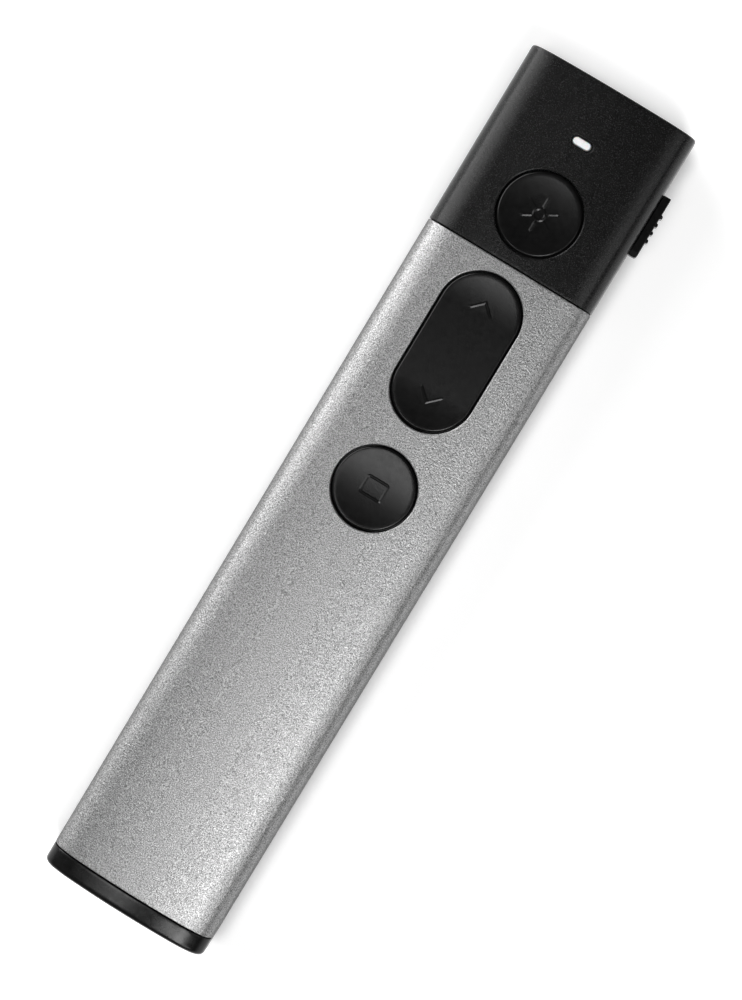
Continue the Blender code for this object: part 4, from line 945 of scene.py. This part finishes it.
def knob_plate(low, high, face_out):
    """The knob's plate, chamfered at the tail, with rounded edges."""
    face_in = BODY_WIDTH / 2 + KNOB_GAP
    middle_y, middle_z = (low.y + high.y) / 2, (low.z + high.z) / 2
    half_length, half_height = (high.y - low.y) / 2, (high.z - low.z) / 2
    outline = [
        (face_in, -half_length),
        (face_out - KNOB_RAMP, -half_length),
        (face_out, -half_length + KNOB_RAMP),
        (face_out, half_length),
        (face_in, half_length),
    ]
    rings = []
    for z in (middle_z + -half_height, middle_z + half_height):
        rings.append([Vector((x, middle_y + y, z)) for x, y in outline])
    knob = add_object("knob_skin", loft(rings))
    bevel = knob.modifiers.new("round", "BEVEL")
    bevel.width = KNOB_EDGE
    bevel.segments = BEVEL_STEPS
    bevel.limit_method = "ANGLE"
    bevel.angle_limit = math.radians(KNOB_EDGE_DEGREES)
    carve(knob)
    return knob


def knob_ribs(low, high, face_out):
    """Round ribs across the plate, evenly spaced about its middle."""
    middle_y, middle_z = (low.y + high.y) / 2, (low.z + high.z) / 2
    rise = (high.z - low.z) / 2 - KNOB_EDGE
    ribs = []
    for index in range(RIB_COUNT):
        y = middle_y + (index - (RIB_COUNT - 1) / 2) * RIB_PITCH
        start, end = (face_out, y, middle_z - rise), (face_out, y, middle_z + rise)
        ribs.append(rod(start, end, RIB_RADIUS, RIB_STEPS))
    return ribs


def knob_wedge(low, high):
    """A cutter that slopes the tail end of the plate."""
    run = Vector((0, SLOPE_LENGTH, SLOPE_DROP))
    edge = Vector((0, low.y, high.z - SLOPE_DROP))
    upper, lower = edge + run * 3, edge - run * 2
    corner = Vector((0, lower.y, upper.z))
    rings = []
    for x in (BODY_WIDTH / 2 - OVERRUN, high.x + OVERRUN):
        rings.append([Vector((x, point.y, point.z)) for point in (upper, lower, corner)])
    return loft(rings)


def make_knob():
    """A ribbed plate with a sloped tail end, on a forked stem."""
    low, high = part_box("slide_knob")
    face_in, face_out = BODY_WIDTH / 2 + KNOB_GAP, high.x - RIB_RADIUS + KNOB_REACH
    middle_y, middle_z = (low.y + high.y) / 2, (low.z + high.z) / 2
    knob = knob_plate(low, high, face_out)
    stem = box(
        (low.x, middle_y - STEM_HALF_LENGTH, middle_z - STEM_HALF_HEIGHT),
        (face_in + KNOB_EDGE * 2, middle_y + STEM_HALF_LENGTH, middle_z + STEM_HALF_HEIGHT),
    )
    nub_low, nub_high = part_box("slide_actuator")
    fork = box(
        (low.x - OVERRUN, nub_low.y - SEAT, middle_z - 2 * STEM_HALF_HEIGHT),
        (nub_high.x + SEAT, nub_high.y + SEAT, middle_z + 2 * STEM_HALF_HEIGHT),
    )
    ribs = knob_ribs(low, high, face_out)
    carve(knob, cuts=(fork, knob_wedge(low, high)), joins=ribs + [stem])
    dress(knob, "satin black", "power_slide", "satin_black", "slide_knob")


# Tail cap


def span(side, near, far):
    """The two distances to that side of the middle plane, the lower x first."""
    return sorted((side * near, side * far))


def make_cap():
    """A rounded end plate with a hollow rim, two magnet pockets and the receiver's jaws."""
    low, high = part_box("end_cap")
    grip_low, grip_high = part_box("receiver_grip")
    magnet_low, magnet_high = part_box("cap_magnet_right")
    inside_y = grip_low.y - SEAT
    edge_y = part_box("sleeve")[0].y - CAP_SEAM
    rim_end = edge_y + CAP_SEAM / 2 + CAP_RIM_REACH
    cap = add_object("cap_skin", shell(low.y, edge_y, CAP_FILLET, SLEEVE_EDGE))
    rim = inner_block(inside_y - SEAT, rim_end, TRAY_INSET)
    hollow = add_object("hollow", inner_block(inside_y, rim_end + OVERRUN, TRAY_INSET + TRAY_WALL))
    magnet_x, magnet_radius = (magnet_low.x + magnet_high.x) / 2, (magnet_high.x - magnet_low.x) / 2
    jaw_in = grip_high.x + FIT
    jaw_out = jaw_in + JAW_THICKNESS
    rise, grip_rise = magnet_radius + MAGNET_WALL, (grip_high.z - grip_low.z) / 2
    blocks, pockets, jaws = [], [], []
    for side in (1, -1):
        near, far = span(side, (jaw_in + jaw_out) / 2, BODY_WIDTH / 2 - TRAY_INSET)
        start, end = (near, inside_y - OVERRUN, BEAM_Z - rise), (far, rim_end + 2 * OVERRUN, BEAM_Z + rise)
        blocks.append(box(start, end))
        x = side * magnet_x
        start, end = (x, magnet_low.y - SEAT, BEAM_Z), (x, rim_end + OVERRUN, BEAM_Z)
        pockets.append(rod(start, end, magnet_radius + SEAT))
        near, far = span(side, jaw_in, jaw_out)
        jaws.append(box((near, inside_y - SEAT, BEAM_Z - grip_rise), (far, high.y, BEAM_Z + grip_rise)))
    carve(hollow, cuts=blocks)
    space = bmesh.new()
    space.from_mesh(hollow.data)
    bpy.data.objects.remove(hollow, do_unlink=True)
    carve(cap, joins=(rim,))
    carve(cap, cuts=[space] + pockets)
    carve(cap, joins=jaws)
    dress(cap, "gloss black", "tail_cap", "gloss_black", "end_cap")


# Sheet-metal sockets: the receiver's plug and the charging port


def rounded_ring(node_name, radius, inset, y):
    """Points round an upright rectangle with rounded corners, moved in by inset."""
    low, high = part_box(node_name)
    corners = ((0, high.x, high.z), (90, low.x, high.z), (180, low.x, low.z), (270, high.x, low.z))
    points = []
    for start, x, z in corners:
        centre_x = x - math.copysign(radius, x)
        centre_z = z - math.copysign(radius, z - (low.z + high.z) / 2)
        points += arc(centre_x, centre_z, radius - inset, start, start + 90, ROUND_STEPS)
    return [Vector((x, y, z)) for x, z in points]


def sheet_socket(name, node_name, radius, closed_y, open_y):
    """A drawn shell with one closed end, and the cutter that hollows it."""
    way = math.copysign(1, open_y - closed_y)
    edge = SHEET / 3
    stations = (
        (edge, closed_y),
        (0, closed_y + way * edge),
        (0, open_y - way * edge),
        (edge, open_y),
    )
    outside = loft([rounded_ring(node_name, radius, inset, y) for inset, y in stations])
    ends = (closed_y + way * SHEET, open_y + way * OVERRUN)
    return add_object(name, outside), loft([rounded_ring(node_name, radius, SHEET, y) for y in ends])


def make_sockets():
    """The receiver's plug with its two windows through it, and the charging port's shell."""
    low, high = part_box("receiver_plug")
    plug, hollow = sheet_socket("plug_skin", "receiver_plug", PLUG_ROUND, low.y, high.y)
    windows = []
    for side in (1, -1):
        x, y, half = side * WINDOW_SPACE / 2, low.y + WINDOW_SETBACK, WINDOW / 2
        windows.append(box((x - half, y - half, low.z - OVERRUN), (x + half, y + half, high.z + OVERRUN)))
    carve(plug, cuts=[hollow] + windows)
    dress(plug, "steel", "receiver", "plated_steel", "receiver_plug")
    low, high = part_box("charging_port")
    round_end = (high.z - low.z) * PORT_ROUND_SHARE
    port, hollow = sheet_socket("port_skin", "charging_port", round_end, high.y, low.y)
    carve(port, cuts=[hollow])
    dress(port, "steel", "housing", "plated_steel", "charging_port")


def make_contacts():
    """Four gold strips along the receiver's tongue, thinner towards its tip."""
    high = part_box("receiver_tongue")[1]
    tip = high.y - CONTACT_SETBACK
    profile = ((tip - CONTACT_LENGTH, 1), (tip - CONTACT_WIDTH, 1), (tip, CONTACT_TIP_SHARE))
    half = CONTACT_WIDTH / 2
    strips = []
    for x in CONTACT_PLACES:
        rings = []
        for y, share in profile:
            top = high.z + CONTACT_RISE * share
            shoulder = high.z + CONTACT_RISE * share / 2
            points = ((half, high.z - SEAT), (half, shoulder), (half * CONTACT_TOP_SHARE, top))
            ring = [(x + across, z) for across, z in points]
            ring += [(x - across, z) for across, z in reversed(points)]
            rings.append([Vector((px, y, pz)) for px, pz in ring])
        strips.append(loft(rings))
    contacts = add_object("receiver_contacts", strips[0])
    carve(contacts, joins=strips[1:])
    dress(contacts, "gold", "receiver", "turned_brass")


# What stays as the solid, with its material


def paint_nodes():
    slots = {entry["node"]: entry["material_slot"] for entry in frame["record"]["subparts"]}
    for name, obj in frame["nodes"].items():
        look = LOOKS[SLOT_LOOKS[slots[name]]]
        for index in range(len(obj.data.materials)):
            obj.data.materials[index] = look
        if not obj.data.materials:
            obj.data.materials.append(look)


# Studio


def soft_lamp(name, azimuth, elevation, size, power):
    """A soft rectangular lamp, LAMP_DISTANCE away in that direction and turned to the object."""
    turn, lift = math.radians(azimuth), math.radians(elevation)
    way = Vector((math.cos(lift) * math.cos(turn), math.cos(lift) * math.sin(turn), math.sin(lift)))
    data = bpy.data.lights.new(name, "AREA")
    data.shape = "RECTANGLE"
    data.size, data.size_y = size
    data.energy = power
    lamp = bpy.data.objects.new(name, data)
    lamp.location = way * LAMP_DISTANCE
    lamp.rotation_euler = (-way).to_track_quat("-Z", "Y").to_euler()
    lamp.visible_camera = False
    bpy.context.scene.collection.objects.link(lamp)


def math_node(material, operation, first, second):
    made = node(material, "ShaderNodeMath", operation=operation)
    for socket, source in zip(made.inputs, (first, second)):
        if isinstance(source, (int, float)):
            socket.default_value = source
        else:
            link(material, source, socket)
    return made.outputs["Value"]


def seen_directly(owner):
    """1 for rays from the camera, in gloss and through glass, and 0 for rays that light a surface."""
    rays = node(owner, "ShaderNodeLightPath").outputs
    seen = math_node(owner, "MAXIMUM", rays["Is Camera Ray"], rays["Is Glossy Ray"])
    return math_node(owner, "MAXIMUM", seen, rays["Is Transmission Ray"])


def make_floor():
    """A pale floor that shows white to the camera and in gloss and glass, with the object's real shadow and
    a painted contact shadow in its white glow.
    """
    bm = bmesh.new()
    corners = [(-1, -1), (1, -1), (1, 1), (-1, 1)]
    places = [(x * FLOOR_REACH, y * FLOOR_REACH, -FLOOR_GAP) for x, y in corners]
    bm.faces.new([bm.verts.new(place) for place in places])
    floor = add_object("floor", bm)
    made = plain("white_table", grey(0.88), 0.9, Specular_IOR_Level=0.0)
    colour_by(made, tint(made, noise(made, 0.02, 3.0), grey(0.87), grey(0.89)))
    # Painted shadow: ambient occlusion dims the white glow within a few millimetres of the object, on top of
    # the real shadow from the lamps.
    shadow = node(
        made, "ShaderNodeAmbientOcclusion", Distance=SHADOW_REACH, samples=SHADOW_SAMPLES
    )
    painted_shadow_mask = spread(made, shadow.outputs["AO"], 0.0, 1.0, *SHADOW_RANGE)
    shown = math_node(made, "MULTIPLY", seen_directly(made), painted_shadow_mask)
    distance = node(made, "ShaderNodeVectorMath", operation="LENGTH")
    link(made, place_on(made), distance.inputs[0])
    # Painted light: the glow rises with distance from the middle, so the floor near the object is dimmer
    # than far out.
    level = spread(made, distance.outputs["Value"], FLOOR_WHITE, 1.0, *PAINTED_GLOW_RISE)
    glow = node(made, "ShaderNodeEmission", Color=(1, 1, 1, 1))
    link(made, math_node(made, "MULTIPLY", shown, level), glow.inputs["Strength"])
    both = node(made, "ShaderNodeAddShader")
    link(made, shader_of(made).outputs["BSDF"], both.inputs[0])
    link(made, glow.outputs["Emission"], both.inputs[1])
    link(made, both.outputs["Shader"], made.node_tree.nodes["Material Output"].inputs["Surface"])
    floor.data.materials.append(made)


def make_world():
    """A dim ceiling over a backdrop that shows white low down, and lights the object at a dimmer level."""
    world = bpy.data.worlds.new("studio")
    bpy.context.scene.world = world
    world.use_nodes = True
    place = node(world, "ShaderNodeTexCoord")
    parts = node(world, "ShaderNodeSeparateXYZ")
    ramp = node(world, "ShaderNodeValToRGB")
    link(world, place.outputs["Generated"], parts.inputs["Vector"])
    unseen = math_node(world, "SUBTRACT", 1.0, seen_directly(world))
    lowest = math_node(world, "MULTIPLY", unseen, BACKDROP_TOP)
    link(world, math_node(world, "MAXIMUM", parts.outputs["Z"], lowest), ramp.inputs["Fac"])
    elements = ramp.color_ramp.elements
    for element, (position, level) in zip(elements, (BACKDROP_LEVELS[0], BACKDROP_LEVELS[-1])):
        element.position = position
        element.color = (*grey(level), 1)
    for position, level in BACKDROP_LEVELS[1:-1]:
        elements.new(position).color = (*grey(level), 1)
    link(world, ramp.outputs["Color"], world.node_tree.nodes["Background"].inputs["Color"])


def make_lamps():
    for name, azimuth, elevation, size, power in LAMPS:
        soft_lamp(name, azimuth, elevation, size, power)


def make_camera():
    data = bpy.data.cameras.new("camera")
    data.sensor_width = SENSOR
    data.lens = FOCAL_SHARE * SENSOR
    camera = bpy.data.objects.new("camera", data)
    bpy.context.scene.collection.objects.link(camera)
    bpy.context.scene.camera = camera
    cosine, sine = math.cos(PICTURE_TURN), math.sin(PICTURE_TURN)
    upright = Matrix(((cosine, sine, 0), (-sine, cosine, 0), (0, 0, 1)))
    lean = Vector(CAMERA_TURN)
    view = Matrix.Rotation(lean.length, 3, lean.normalized()) @ upright
    camera.matrix_world = Matrix.Translation(CAMERA_PLACE) @ view.transposed().to_4x4()


make_camera()
make_world()
make_floor()
make_lamps()
paint_nodes()
make_sleeve()
make_head()
make_indicator()
make_keys()
make_knob()
make_cap()
make_sockets()
make_contacts()
bpy.context.scene.view_settings.view_transform = "Standard"
